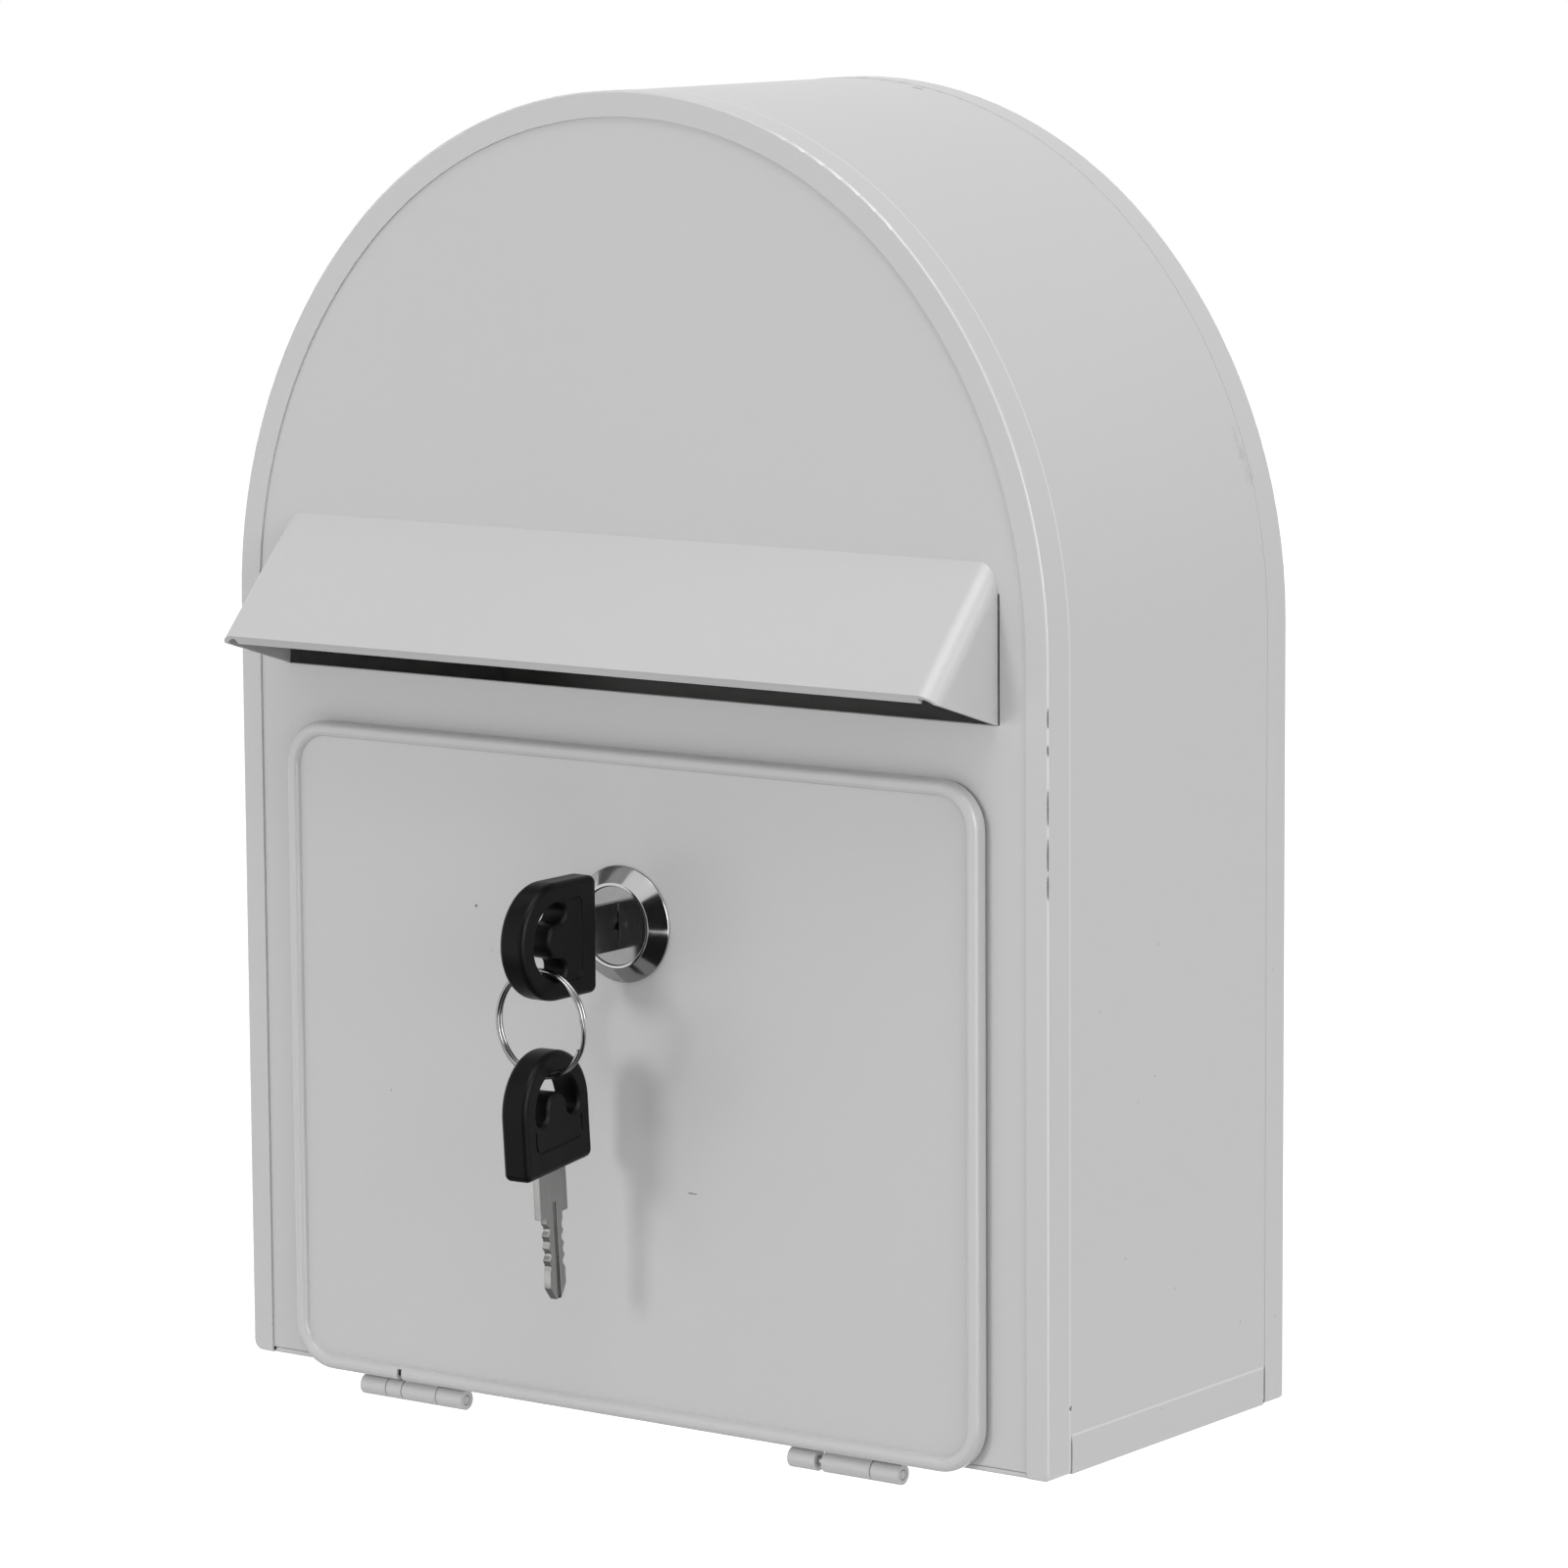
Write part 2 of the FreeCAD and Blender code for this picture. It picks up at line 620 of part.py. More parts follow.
def make_hood():
    """The rain hood: a folded channel down the slope, trimmed to the panel and to its cheeks."""
    body = new_body("slot_hood")
    root = panel_front + d.lap_gap
    outer = slot_half - d.hood_gap
    inner = outer - d.hood_sheet
    reach = d.hood_length * d.hood_angle.cosine()
    fall = d.hood_length * d.hood_angle.sine()
    top = d.slot_top + d.hood_cover
    deep = d.slot_top - d.slot_bottom
    bend = d.hood_bend
    bend_in = bend - d.hood_sheet
    start = root - reach
    above = top + fall
    skin = Outline(body, "hood_skin", FRONT, start, above, d.hood_angle).loop(
        (-outer, -deep),
        ((outer, -deep),),
        ((outer, -bend),),
        ((outer - bend, nil), (outer - bend, -bend), bend, 1),
        ((bend - outer, nil),),
        ((-outer, -bend), (bend - outer, -bend), bend, 1),
        ((-outer, -deep),),
    )
    pad(body, "hood_block", skin, d.hood_length * 2)
    under = -d.hood_sheet
    core = Outline(body, "hood_core", FRONT, start, above, d.hood_angle).loop(
        (-inner, -2 * deep),
        ((inner, -2 * deep),),
        ((inner, -bend),),
        ((inner - bend_in, under), (inner - bend_in, -bend), bend_in, 1),
        ((bend_in - inner, under),),
        ((-inner, -bend), (bend_in - inner, -bend), bend_in, 1),
        ((-inner, -2 * deep),),
    )
    pocket(body, "hood_hollow", core, both=True)
    lip_depth = root + reach
    lip_height = top - fall
    low = d.slot_bottom - d.lap_gap
    nose = lip_height - d.hood_sheet / d.hood_angle.cosine()
    behind_trim = Outline(body, "hood_back_trim", SIDE)
    behind_trim.rectangle(-root, nil, low - 2 * deep, above + deep)
    pocket(body, "hood_back_cut", behind_trim, both=True)
    below_trim = Outline(body, "hood_cheek_trim", SIDE).polygon(
        (-(root - d.hood_sheet), low),
        (-lip_depth, nose),
        (-(lip_depth + deep), nose),
        (-(lip_depth + deep), low - 2 * deep),
        (-(root - d.hood_sheet), low - 2 * deep),
    )
    pocket(body, "hood_cheek_cut", below_trim, both=True)
    along = (d.hood_angle.cosine(), d.hood_angle.sine())
    tip = outer - d.hem_inset
    thick = d.hood_sheet
    end_y = lip_depth - thick * along[1]
    end_z = lip_height - thick * along[0]

    def under_lip(back, below):
        """Give a point of the hem, back up the slope from the lip and below the hood sheet."""
        return (
            -(end_y - back * along[0] - below * along[1]),
            end_z + back * along[1] - below * along[0],
        )

    leaf = d.hem_open + thick
    hem = Outline(body, "hem_section", SIDE).polygon(
        under_lip(nil, nil),
        under_lip(thick, nil),
        under_lip(thick, d.hem_open),
        under_lip(d.hem_length, d.hem_open),
        under_lip(d.hem_length, leaf),
        under_lip(nil, leaf),
    )
    pad(body, "hood_hem", hem, tip * 2, both=True)
    rear = panel_rear - d.lap_gap
    web = Outline(body, "web_section", SIDE).polygon(
        (-(root + thick), top - thick / along[0]),
        (-(root + thick / 4), top - thick / 4),
        (-rear, top - thick / 4),
        (-rear, top + d.hood_flange),
        (-(rear - thick), top + d.hood_flange),
        (-(rear - thick), top - thick / along[0]),
    )
    pad(body, "hood_flange_web", web, (outer - bend) * 2, both=True)


def make_door():
    """The pressed door: flat field, raised round rim with a turned return, lock hole and hinge notches."""
    body = new_body("door_panel")
    side = d.door_width / 2
    low = -d.door_drop
    high = low + d.door_height
    rim = d.door_rim
    wall = d.door_sheet
    corner = d.door_corner
    slab = Outline(body, "rim_outline", FRONT, rim_rear).rounded(-side, side, low, high, corner)
    pad(body, "rim_block", slab, crest - rim_rear)
    inside = Outline(body, "field_outline", FRONT, crest)
    inside.rounded(rim - side, side - rim, low + rim, high - rim, corner - rim)
    well = pocket(body, "field_well", inside, d.rim_proud)
    dress(body, "Fillet", "rim_edges", well, edges_in_plane(well, "Y", -crest.value), d.rim_round)
    back = Outline(body, "field_back", FRONT, rim_rear)
    ease = rim - wall
    back.rounded(ease - side, side - ease, low + ease, high - ease, corner - ease)
    pocket(body, "field_hollow", back, field_rear - rim_rear, reverse=True)
    groove = Outline(body, "rim_groove", FRONT, rim_rear)
    groove.rounded(wall - side, side - wall, low + wall, high - wall, corner - wall)
    groove.rounded(ease - side, side - ease, low + ease, high - ease, corner - ease)
    pocket(body, "rim_hollow", groove, crest - wall - rim_rear, reverse=True)
    hole = Outline(body, "lock_hole_outline", FRONT, rim_rear)
    hole.circle((nil, d.lock_height), d.barrel_diameter / 2 + d.barrel_play)
    pocket(body, "lock_hole", hole, both=True)
    notch = Outline(body, "hinge_notch_outline", FRONT, rim_rear)
    for centre, middle in ((-d.hinge_left, d.middle_left), (d.hinge_right, d.middle_right)):
        right = centre + d.hinge_length / 2 - d.hinge_end - d.knuckle_gap
        left = right - middle
        notch.rectangle(left - d.leaf_notch, right + d.leaf_notch, low - wall, low + wall * 1.5)
    pocket(body, "hinge_notches", notch, field_rear + d.pin_fit - rim_rear, reverse=True)
    slit = Outline(body, "slit_outline", FRONT, rim_rear)
    slit.rectangle(-d.slit_left, d.slit_width - d.slit_left, low - wall, low + d.slit_height)
    pocket(body, "seam_slit", slit, both=True)


def make_hinge(side, centre, middle, filled):
    """One butt hinge: a leaf on the panel, a leaf behind the door and the pin.

    A filled hinge has a fourth knuckle in the room that the middle one leaves.
    """
    spot = (centre, -hinge_depth, hinge_height)
    end = d.hinge_length / 2
    inner = end - d.hinge_end
    middle_right = inner - d.knuckle_gap
    middle_left = middle_right - middle
    bore = d.pin_radius + d.pin_fit
    fixed = new_body(f"hinge_leaf_box_{side}", *spot)
    room = 2 * inner - middle - 2 * d.knuckle_gap
    notch = room - inner if filled else -inner
    knuckles = [("first", -end, d.hinge_end), ("last", inner, d.hinge_end)]
    if filled:
        knuckles.append(("spare", d.knuckle_gap - inner, room - d.knuckle_gap))
    clear = -hinge_height
    high = d.leaf_box_height - hinge_height
    plate = Outline(fixed, f"box_plate_{side}", FRONT, -d.hinge_stand).polygon(
        (-end, nil), (notch, nil), (notch, clear), (inner, clear),
        (inner, nil), (end, nil), (end, high), (-end, high),
    )
    pad(fixed, f"box_leaf_{side}", plate, d.leaf_sheet)
    for word, start, length in knuckles:
        ring = Outline(fixed, f"{word}_knuckle_{side}", SIDE, start).circle((nil, nil), d.knuckle_radius)
        pad(fixed, f"{word}_knuckle_pad_{side}", ring, length)
    hole = Outline(fixed, f"box_bore_{side}", SIDE).circle((nil, nil), bore)
    pocket(fixed, f"box_bore_cut_{side}", hole, both=True)
    moving = new_body(f"hinge_leaf_door_{side}", *spot)
    shelf = d.door_sheet * 1.5 - d.door_drop - hinge_height
    top = d.leaf_door_height - hinge_height
    plate = Outline(moving, f"door_plate_{side}", FRONT, field_rear - d.leaf_sheet - hinge_depth).polygon(
        (middle_left, nil), (middle_right, nil), (middle_right, shelf), (end, shelf),
        (end, top), (-end, top), (-end, shelf), (middle_left, shelf),
    )
    pad(moving, f"door_leaf_{side}", plate, d.leaf_sheet)
    ring = Outline(moving, f"middle_knuckle_{side}", SIDE, middle_left).circle((nil, nil), d.knuckle_radius)
    pad(moving, f"middle_knuckle_pad_{side}", ring, middle)
    hole = Outline(moving, f"door_bore_{side}", SIDE).circle((nil, nil), bore)
    pocket(moving, f"door_bore_cut_{side}", hole, both=True)
    pin = new_body(f"hinge_pin_{side}", *spot)
    rod = Outline(pin, f"pin_outline_{side}", SIDE).circle((nil, nil), d.pin_radius)
    pad(pin, f"pin_pad_{side}", rod, d.hinge_length, both=True)


def lock_body_at(label):
    """Start a lock piece: its own zero is on the lock axis in the plane of the door face."""
    return new_body(label, 0.0, -field_front, d.lock_height)


def make_lock():
    """The cam lock: housing, nut, plug with keyway and wafers, cam, washer and screw."""
    bezel = d.bezel_diameter / 2
    front = d.bezel_front / 2
    barrel = d.barrel_diameter / 2
    face = d.face_diameter / 2 + d.plug_fit
    plug = d.plug_diameter / 2
    seat = d.bezel_height - d.face_sink - d.face_thick - d.plug_fit
    body = lock_body_at("lock_body")
    section = Outline(body, "housing_section", SIDE).polygon(
        (nil, barrel), (nil, bezel), (-d.bezel_edge, bezel), (-d.bezel_height, front),
        (-d.bezel_height, face), (-seat, face), (-seat, plug + d.plug_fit),
        (d.lock_length, plug + d.plug_fit), (d.lock_length, barrel),
    )
    revolve(body, "housing", section)

    body = lock_body_at("lock_nut")
    corner = d.nut_across / Size.of(3).root()
    high = d.nut_across / 2
    nut = Outline(body, "nut_outline", FRONT, -(d.door_sheet + d.nut_thick))
    nut.polygon(
        (corner, nil), (corner / 2, high), (-corner / 2, high),
        (-corner, nil), (-corner / 2, -high), (corner / 2, -high),
    )
    nut.circle((nil, nil), barrel + d.nut_fit)
    pad(body, "nut_pad", nut, d.nut_thick)

    body = lock_body_at("lock_plug")
    head = d.bezel_height - d.face_sink
    head_rear = head - d.face_thick
    end = d.lock_length
    section = Outline(body, "plug_section", SIDE).polygon(
        (-head, nil), (-head, d.face_diameter / 2), (-head_rear, d.face_diameter / 2),
        (-head_rear, plug), (end, plug), (end, nil),
    )
    revolve(body, "plug_turned", section)
    square = d.cam_square / 2
    tail = Outline(body, "tail_outline", FRONT, -end).rectangle(-square, square, -square, square)
    tail_length = d.cam_gap + d.cam_thick - d.cam_fit
    pad(body, "tail", tail, tail_length, reverse=True)
    half_thick = d.blade_thick / 2 + d.key_fit
    half_width = d.blade_width / 2 + d.key_fit
    keyway = Outline(body, "keyway_outline", FRONT, head)
    keyway.rectangle(-half_thick, half_thick, -half_width, half_width)
    pocket(body, "keyway", keyway, d.blade_length + d.key_fit * 3)
    tap = Outline(body, "tap_outline", FRONT, -(end + tail_length))
    tap.circle((nil, nil), d.screw_diameter / 2 + d.screw_fit)
    pocket(body, "tap", tap, d.screw_reach - d.cam_fit + d.screw_fit, reverse=True)
    slot = Outline(body, "wafer_slot_outline", SIDE)
    for index in range(int(d.wafer_count.value)):
        near = d.wafer_pitch * (index + 0.5)
        far = near + d.wafer_thick
        slot.rectangle(near - d.wafer_fit, far + d.wafer_fit, -d.plug_diameter, d.plug_diameter)
    pocket(body, "wafer_slots", slot, d.wafer_width + 2 * d.wafer_fit, both=True)

    wafers = []
    for index in range(int(d.wafer_count.value)):
        near = d.wafer_pitch * (index + 0.5)
        plate = doc.addObject("Part::Box", f"wafer_plate_{index + 1}")
        bind(plate, "Length", d.wafer_width)
        bind(plate, "Width", d.wafer_thick)
        bind(plate, "Height", d.wafer_height)
        bind(plate, "Placement.Base.x", -d.wafer_width / 2)
        bind(plate, "Placement.Base.y", near)
        bind(plate, "Placement.Base.z", -d.wafer_height / 2)
        window = doc.addObject("Part::Box", f"wafer_window_{index + 1}")
        bind(window, "Length", 2 * half_thick + 2 * d.wafer_fit)
        bind(window, "Width", d.wafer_thick * 3)
        bind(window, "Height", 2 * half_width + 2 * d.wafer_fit)
        bind(window, "Placement.Base.x", -half_thick - d.wafer_fit)
        bind(window, "Placement.Base.y", near - d.wafer_thick)
        bind(window, "Placement.Base.z", -half_width - d.wafer_fit)
        frame = doc.addObject("Part::Cut", f"wafer_{index + 1}")
        frame.Base = plate
        frame.Tool = window
        wafers.append(frame)
    group = doc.addObject("Part::Compound", "lock_wafers")
    group.Links = wafers
    group.Label = "lock_wafers"
    bind(group, "Placement.Base.y", -field_front)
    bind(group, "Placement.Base.z", d.lock_height - d.mount_height)
    bodies.append(group)

    body = lock_body_at("lock_cam")
    rear = d.lock_length + d.cam_gap + d.cam_thick
    arm = d.cam_width / 2
    hole = square + d.cam_fit
    cam = Outline(body, "cam_outline", FRONT, -rear).loop(
        (nil, -arm),
        ((nil, arm), (nil, nil), arm, 1),
        ((-(d.cam_length - arm / 2), arm),),
        ((-d.cam_length, arm / 2), (-(d.cam_length - arm / 2), arm / 2), arm / 2, 1),
        ((-d.cam_length, -arm / 2),),
        ((-(d.cam_length - arm / 2), -arm), (-(d.cam_length - arm / 2), -arm / 2), arm / 2, 1),
        ((nil, -arm),),
    )
    cam.rectangle(-hole, hole, -hole, hole)
    pad(body, "cam_pad", cam, d.cam_thick)

    body = lock_body_at("cam_washer")
    shank = d.screw_diameter / 2
    washer = Outline(body, "washer_outline", FRONT, -(rear + d.washer_thick))
    washer.circle((nil, nil), d.washer_diameter / 2)
    washer.circle((nil, nil), shank + d.screw_fit)
    pad(body, "washer_pad", washer, d.washer_thick)

    body = lock_body_at("cam_screw")
    under = rear + d.washer_thick
    top = under + d.head_height
    head = d.head_diameter / 2
    section = Outline(body, "screw_section", SIDE).polygon(
        (rear - d.screw_reach, nil), (rear - d.screw_reach, shank), (under, shank),
        (under, head), (top, head), (top, nil),
    )
    revolve(body, "screw_turned", section)
    blade = d.driver_width / 2
    slot = Outline(body, "screw_slot_outline", FRONT, -top)
    slot.rectangle(-blade, blade, -d.head_diameter, d.head_diameter)
    pocket(body, "screw_slot", slot, d.head_height / 2, reverse=True)


def moulded_line(outline, near, reach):
    """Draw a thin line square to the key with both ends turned towards the ring."""
    inner = d.line_turn
    outer = inner + d.line_width
    far = near - d.line_width
    end = near - outer - d.line_leg
    hub = near - outer
    outline.loop(
        (near, outer - reach),
        ((near, reach - outer),),
        ((hub, reach), (hub, reach - outer), outer, 1),
        ((end, reach),),
        ((end, reach - d.line_width),),
        ((hub, reach - d.line_width),),
        ((far, reach - outer), (hub, reach - outer), inner, -1),
        ((far, outer - reach),),
        ((hub, d.line_width - reach), (hub, outer - reach), inner, -1),
        ((end, d.line_width - reach),),
        ((end, -reach),),
        ((hub, -reach),),
        ((near, outer - reach), (hub, outer - reach), outer, 1),
    )


def make_key(prefix, *place):
    """One key: own zero at the shoulder seat, bow towards -Y, blade towards +Y, flat in X."""
    blade = new_body(f"{prefix}_blade", *place)
    wide = d.blade_width / 2
    stem = d.shoulder_width / 2
    tang = d.tang_width / 2
    tip_half = d.tip_width / 2
    bow_seat = d.shoulder_length
    tang_end = bow_seat + d.tang_length
    run = d.blade_length - d.blade_point
    depths = (d.cut_depth, d.cut_shallow, d.cut_depth, d.cut_shallow)
    lower = []
    upper = []
    for index, (low_cut, high_cut) in enumerate(zip(depths, depths[1:] + depths[:1])):
        first = d.cut_start + d.cut_pitch * index
        floor = first + d.cut_flank
        rise = floor + d.cut_floor
        last = rise + d.cut_flank
        lower += [(first, -wide), (floor, low_cut - wide), (rise, low_cut - wide), (last, -wide)]
        upper += [(first, wide), (floor, wide - high_cut), (rise, wide - high_cut), (last, wide)]
    points = [(-tang_end, -tang), (-bow_seat, -tang), (-bow_seat, -stem), (nil, -stem), (nil, -wide)]
    points += lower
    points += [(run, -wide), (d.blade_length, -tip_half), (d.blade_length, tip_half), (run, wide)]
    points += upper[::-1]
    points += [(nil, wide), (nil, stem), (-bow_seat, stem), (-bow_seat, tang), (-tang_end, tang)]
    shape = Outline(blade, f"{prefix}_blade_outline", SIDE).polygon(*points)
    pad(blade, f"{prefix}_blade_pad", shape, d.blade_thick, both=True)
    for word, sign in (("right", 1), ("left", -1)):
        face = sign * d.blade_thick / 2
        groove = Outline(blade, f"{prefix}_groove_{word}", SIDE, face)
        lane = d.groove_width / 2
        groove.rectangle(-d.groove_back, d.blade_length * 2, -lane, lane)
        pocket(blade, f"{prefix}_groove_cut_{word}", groove, d.groove_depth, reverse=sign < 0)

    bow = new_body(f"{prefix}_bow", *place)
    side = d.bow_width / 2
    flat = bow_seat
    middle = bow_seat + d.bow_length - side
    corner = d.bow_corner
    shape = Outline(bow, f"{prefix}_bow_outline", SIDE).loop(
        (-(flat + corner), -side),
        ((-flat, corner - side), (-(flat + corner), corner - side), corner, 1),
        ((-flat, side - corner),),
        ((-(flat + corner), side), (-(flat + corner), side - corner), corner, 1),
        ((-middle, side),),
        ((-middle, -side), (-middle, nil), side, 1),
        ((-(flat + corner), -side),),
    )
    block = pad(bow, f"{prefix}_bow_pad", shape, d.bow_thick, both=True)
    edges = []
    for face in (-d.bow_thick.value / 2, d.bow_thick.value / 2):
        for name in edges_in_plane(block, "X", face):
            if block.Shape.getElement(name).BoundBox.YMin < -(flat + corner).value - LENGTH_TOLERANCE:
                edges.append(name)
    dress(bow, "Fillet", f"{prefix}_bow_edges", block, edges, d.bow_round)
    far = d.loop_radius + d.loop_width / 2
    near = d.loop_radius - d.loop_width / 2
    end = d.loop_width / 2
    slot = Outline(bow, f"{prefix}_slot_outline", SIDE).loop(
        (-middle, far),
        ((-middle, -far), (-middle, nil), far, 1),
        ((-middle, -near), (-middle, -d.loop_radius), end, 1),
        ((-middle, near), (-middle, nil), near, -1),
        ((-middle, far), (-middle, d.loop_radius), end, 1),
    )
    opened = pocket(bow, f"{prefix}_slot_cut", slot, both=True)
    edges = []
    for face in (-d.bow_thick.value / 2, d.bow_thick.value / 2):
        for name in edges_in_plane(opened, "X", face):
            middle_of = opened.Shape.getElement(name).BoundBox.Center
            if math.hypot(middle_of.y + middle.value, middle_of.z) < far.value + LENGTH_TOLERANCE:
                edges.append(name)
    dress(bow, "Chamfer", f"{prefix}_slot_ease", opened, edges, d.loop_ease)
    for word, sign in (("right", 1), ("left", -1)):
        line = Outline(bow, f"{prefix}_line_{word}", SIDE, sign * d.bow_thick / 2)
        moulded_line(line, -(flat + d.line_inset), side - d.line_margin)
        pocket(bow, f"{prefix}_line_cut_{word}", line, d.line_depth, reverse=sign < 0)
    socket = Outline(bow, f"{prefix}_socket_outline", SIDE)
    grip = tang + d.tang_fit
    socket.rectangle(-(tang_end + d.tang_fit), nil, -grip, grip)
    pocket(bow, f"{prefix}_socket", socket, d.blade_thick + 2 * d.tang_fit, both=True)


def make_ring(x, y, z):
    """The split ring as two coils side by side, turned about its own axis."""
    body = new_body("key_ring", x, y, z)
    step = d.coil_pitch / 2
    waist = (wire_radius * wire_radius - step * step).root()
    section = Outline(body, "coil_section", SIDE).loop(
        (nil, ring_radius - waist),
        ((nil, ring_radius + waist), (step, ring_radius), wire_radius, 1),
        ((nil, ring_radius - waist), (-step, ring_radius), wire_radius, 1),
    )
    revolve(body, "coils", section)


make_shell()
make_front_frame()
make_front_panel()
make_back_panel()
make_bottom_plate()
make_hood()
make_door()
make_hinge("left", -d.hinge_left, d.middle_left, True)
make_hinge("right", d.hinge_right, d.middle_right, False)
make_lock()

key_depth = face_depth + d.key_gap
loop_far = d.loop_radius + d.loop_width / 2
bow_middle = d.shoulder_length + d.bow_length - d.bow_width / 2
hang_depth = key_depth + bow_middle + d.ring_ahead
hang_height = d.lock_height - loop_far + d.ring_play
make_key("key", 0.0, -key_depth, d.lock_height)
make_ring(-d.ring_shift, -hang_depth, hang_height - ring_radius)
spare_drop = bow_middle + loop_far - d.spare_play
spare_hang = hang_height - 2 * ring_radius
spare_out = spare_drop * d.spare_lean.sine()
spare_x = -d.spare_shift - spare_out * d.spare_yaw.sine()
spare_depth = hang_depth - spare_out * d.spare_yaw.cosine()
spare_height = spare_hang - spare_drop * d.spare_lean.cosine()
hanging = d.spare_lean - QUARTER_TURN
make_key("spare_key", spare_x, -spare_depth, spare_height, d.spare_yaw, hanging)

doc.recompute()
os.makedirs("parts", exist_ok=True)
for item in doc.Objects:
    if "Invalid" in item.State or "Error" in item.State:
        raise RuntimeError(f"{item.Label} did not compute: {item.State}")
for body in bodies:
    shape = body.Shape
    if shape.isNull() or not shape.isValid():
        raise RuntimeError(f"{body.Label} has no valid shape")
    shape.exportStep(f"parts/{body.Label}.step")
    box = shape.BoundBox
    spans = [(box.XMin, box.XMax), (box.YMin, box.YMax), (box.ZMin, box.ZMax)]
    text = " ".join(f"{low:.2f}..{high:.2f}" for low, high in spans)
    print(f"{body.Label:24s} solids {len(shape.Solids)} volume {shape.Volume:.1f} box {text}")
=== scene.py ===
"""Looks of the wall mailbox: finishes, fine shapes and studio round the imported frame, in metres."""
from __future__ import annotations

import logging
import math
from dataclasses import dataclass
from enum import Enum

import bmesh
import bpy
from mathutils import Matrix, Vector


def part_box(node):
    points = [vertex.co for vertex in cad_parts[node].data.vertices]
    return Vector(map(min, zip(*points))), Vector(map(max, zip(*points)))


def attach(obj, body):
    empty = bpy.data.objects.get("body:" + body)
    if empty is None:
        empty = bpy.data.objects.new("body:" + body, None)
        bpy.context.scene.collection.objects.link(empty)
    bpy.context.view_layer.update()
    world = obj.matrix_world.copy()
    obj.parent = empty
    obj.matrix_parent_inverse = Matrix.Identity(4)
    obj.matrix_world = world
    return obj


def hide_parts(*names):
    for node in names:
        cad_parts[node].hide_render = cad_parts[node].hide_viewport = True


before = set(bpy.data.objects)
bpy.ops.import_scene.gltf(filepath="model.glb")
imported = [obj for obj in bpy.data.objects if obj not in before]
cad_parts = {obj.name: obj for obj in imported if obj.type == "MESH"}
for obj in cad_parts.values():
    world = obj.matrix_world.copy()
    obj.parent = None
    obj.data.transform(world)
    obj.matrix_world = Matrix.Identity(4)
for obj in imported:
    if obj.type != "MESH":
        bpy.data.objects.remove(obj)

LOG = logging.getLogger("wall_mailbox")
MM = 0.001
SHARP_ANGLE = 50.0


class Body(Enum):
    """The rigid bodies that pieces ride on."""

    BOX = "box"
    DOOR = "door"
    LOCK = "lock_core"
    KEY = "key"
    RING = "ring"
    SPARE = "spare_key"


class Slot(Enum):
    """The record's material slots."""

    PAINT = "paint"
    CHROME = "chrome"
    STEEL = "steel"
    BRASS = "brass"
    PLASTIC = "bow_plastic"


class Axis(Enum):
    """The axes that a painted edge highlight is placed along, by their place in a vector."""

    DEPTH = 1
    HEIGHT = 2


class Reach(Enum):
    """What a lamp shows up in."""

    ALL = "all"
    MIRRORS = "mirrors"
    MATT = "matt"


class Value:
    """A shader socket that takes part in Python arithmetic."""

    def __init__(self, book: "NodeBook", socket: bpy.types.NodeSocket) -> None:
        """Keep the socket and the node tree that it belongs to."""
        self.book = book
        self.socket = socket

    def math(self, operation: str, *others: "Value | float") -> "Value":
        """Add one Math node.

        Args:
            operation: the Math node's operation.
            others: the second operand, where the operation takes one.

        Returns:
            The node's result.
        """
        inputs = dict(enumerate((self, *others)))
        node = self.book.node("ShaderNodeMath", {"operation": operation}, inputs)
        return Value(self.book, node.outputs[0])

    def __add__(self, other: "Value | float") -> "Value":
        """Add."""
        return self.math("ADD", other)

    def __radd__(self, other: float) -> "Value":
        """Add, number first."""
        return self.math("ADD", other)

    def __sub__(self, other: "Value | float") -> "Value":
        """Subtract."""
        return self.math("SUBTRACT", other)

    def __rsub__(self, other: float) -> "Value":
        """Subtract from a number."""
        negative = self.math("MULTIPLY", -1.0)
        return negative.math("ADD", other)

    def __mul__(self, other: "Value | float") -> "Value":
        """Multiply."""
        return self.math("MULTIPLY", other)

    def __rmul__(self, other: float) -> "Value":
        """Multiply, number first."""
        return self.math("MULTIPLY", other)

    def larger(self, other: "Value | float") -> "Value":
        """Give the larger of two values."""
        return self.math("MAXIMUM", other)

    def step(self, low: float, high: float) -> "Value":
        """Rise smoothly from 0 at low to 1 at high."""
        settings = {"interpolation_type": "SMOOTHSTEP", "clamp": True}
        inputs = {"Value": self, "From Min": low, "From Max": high}
        node = self.book.node("ShaderNodeMapRange", settings, inputs)
        return Value(self.book, node.outputs["Result"])


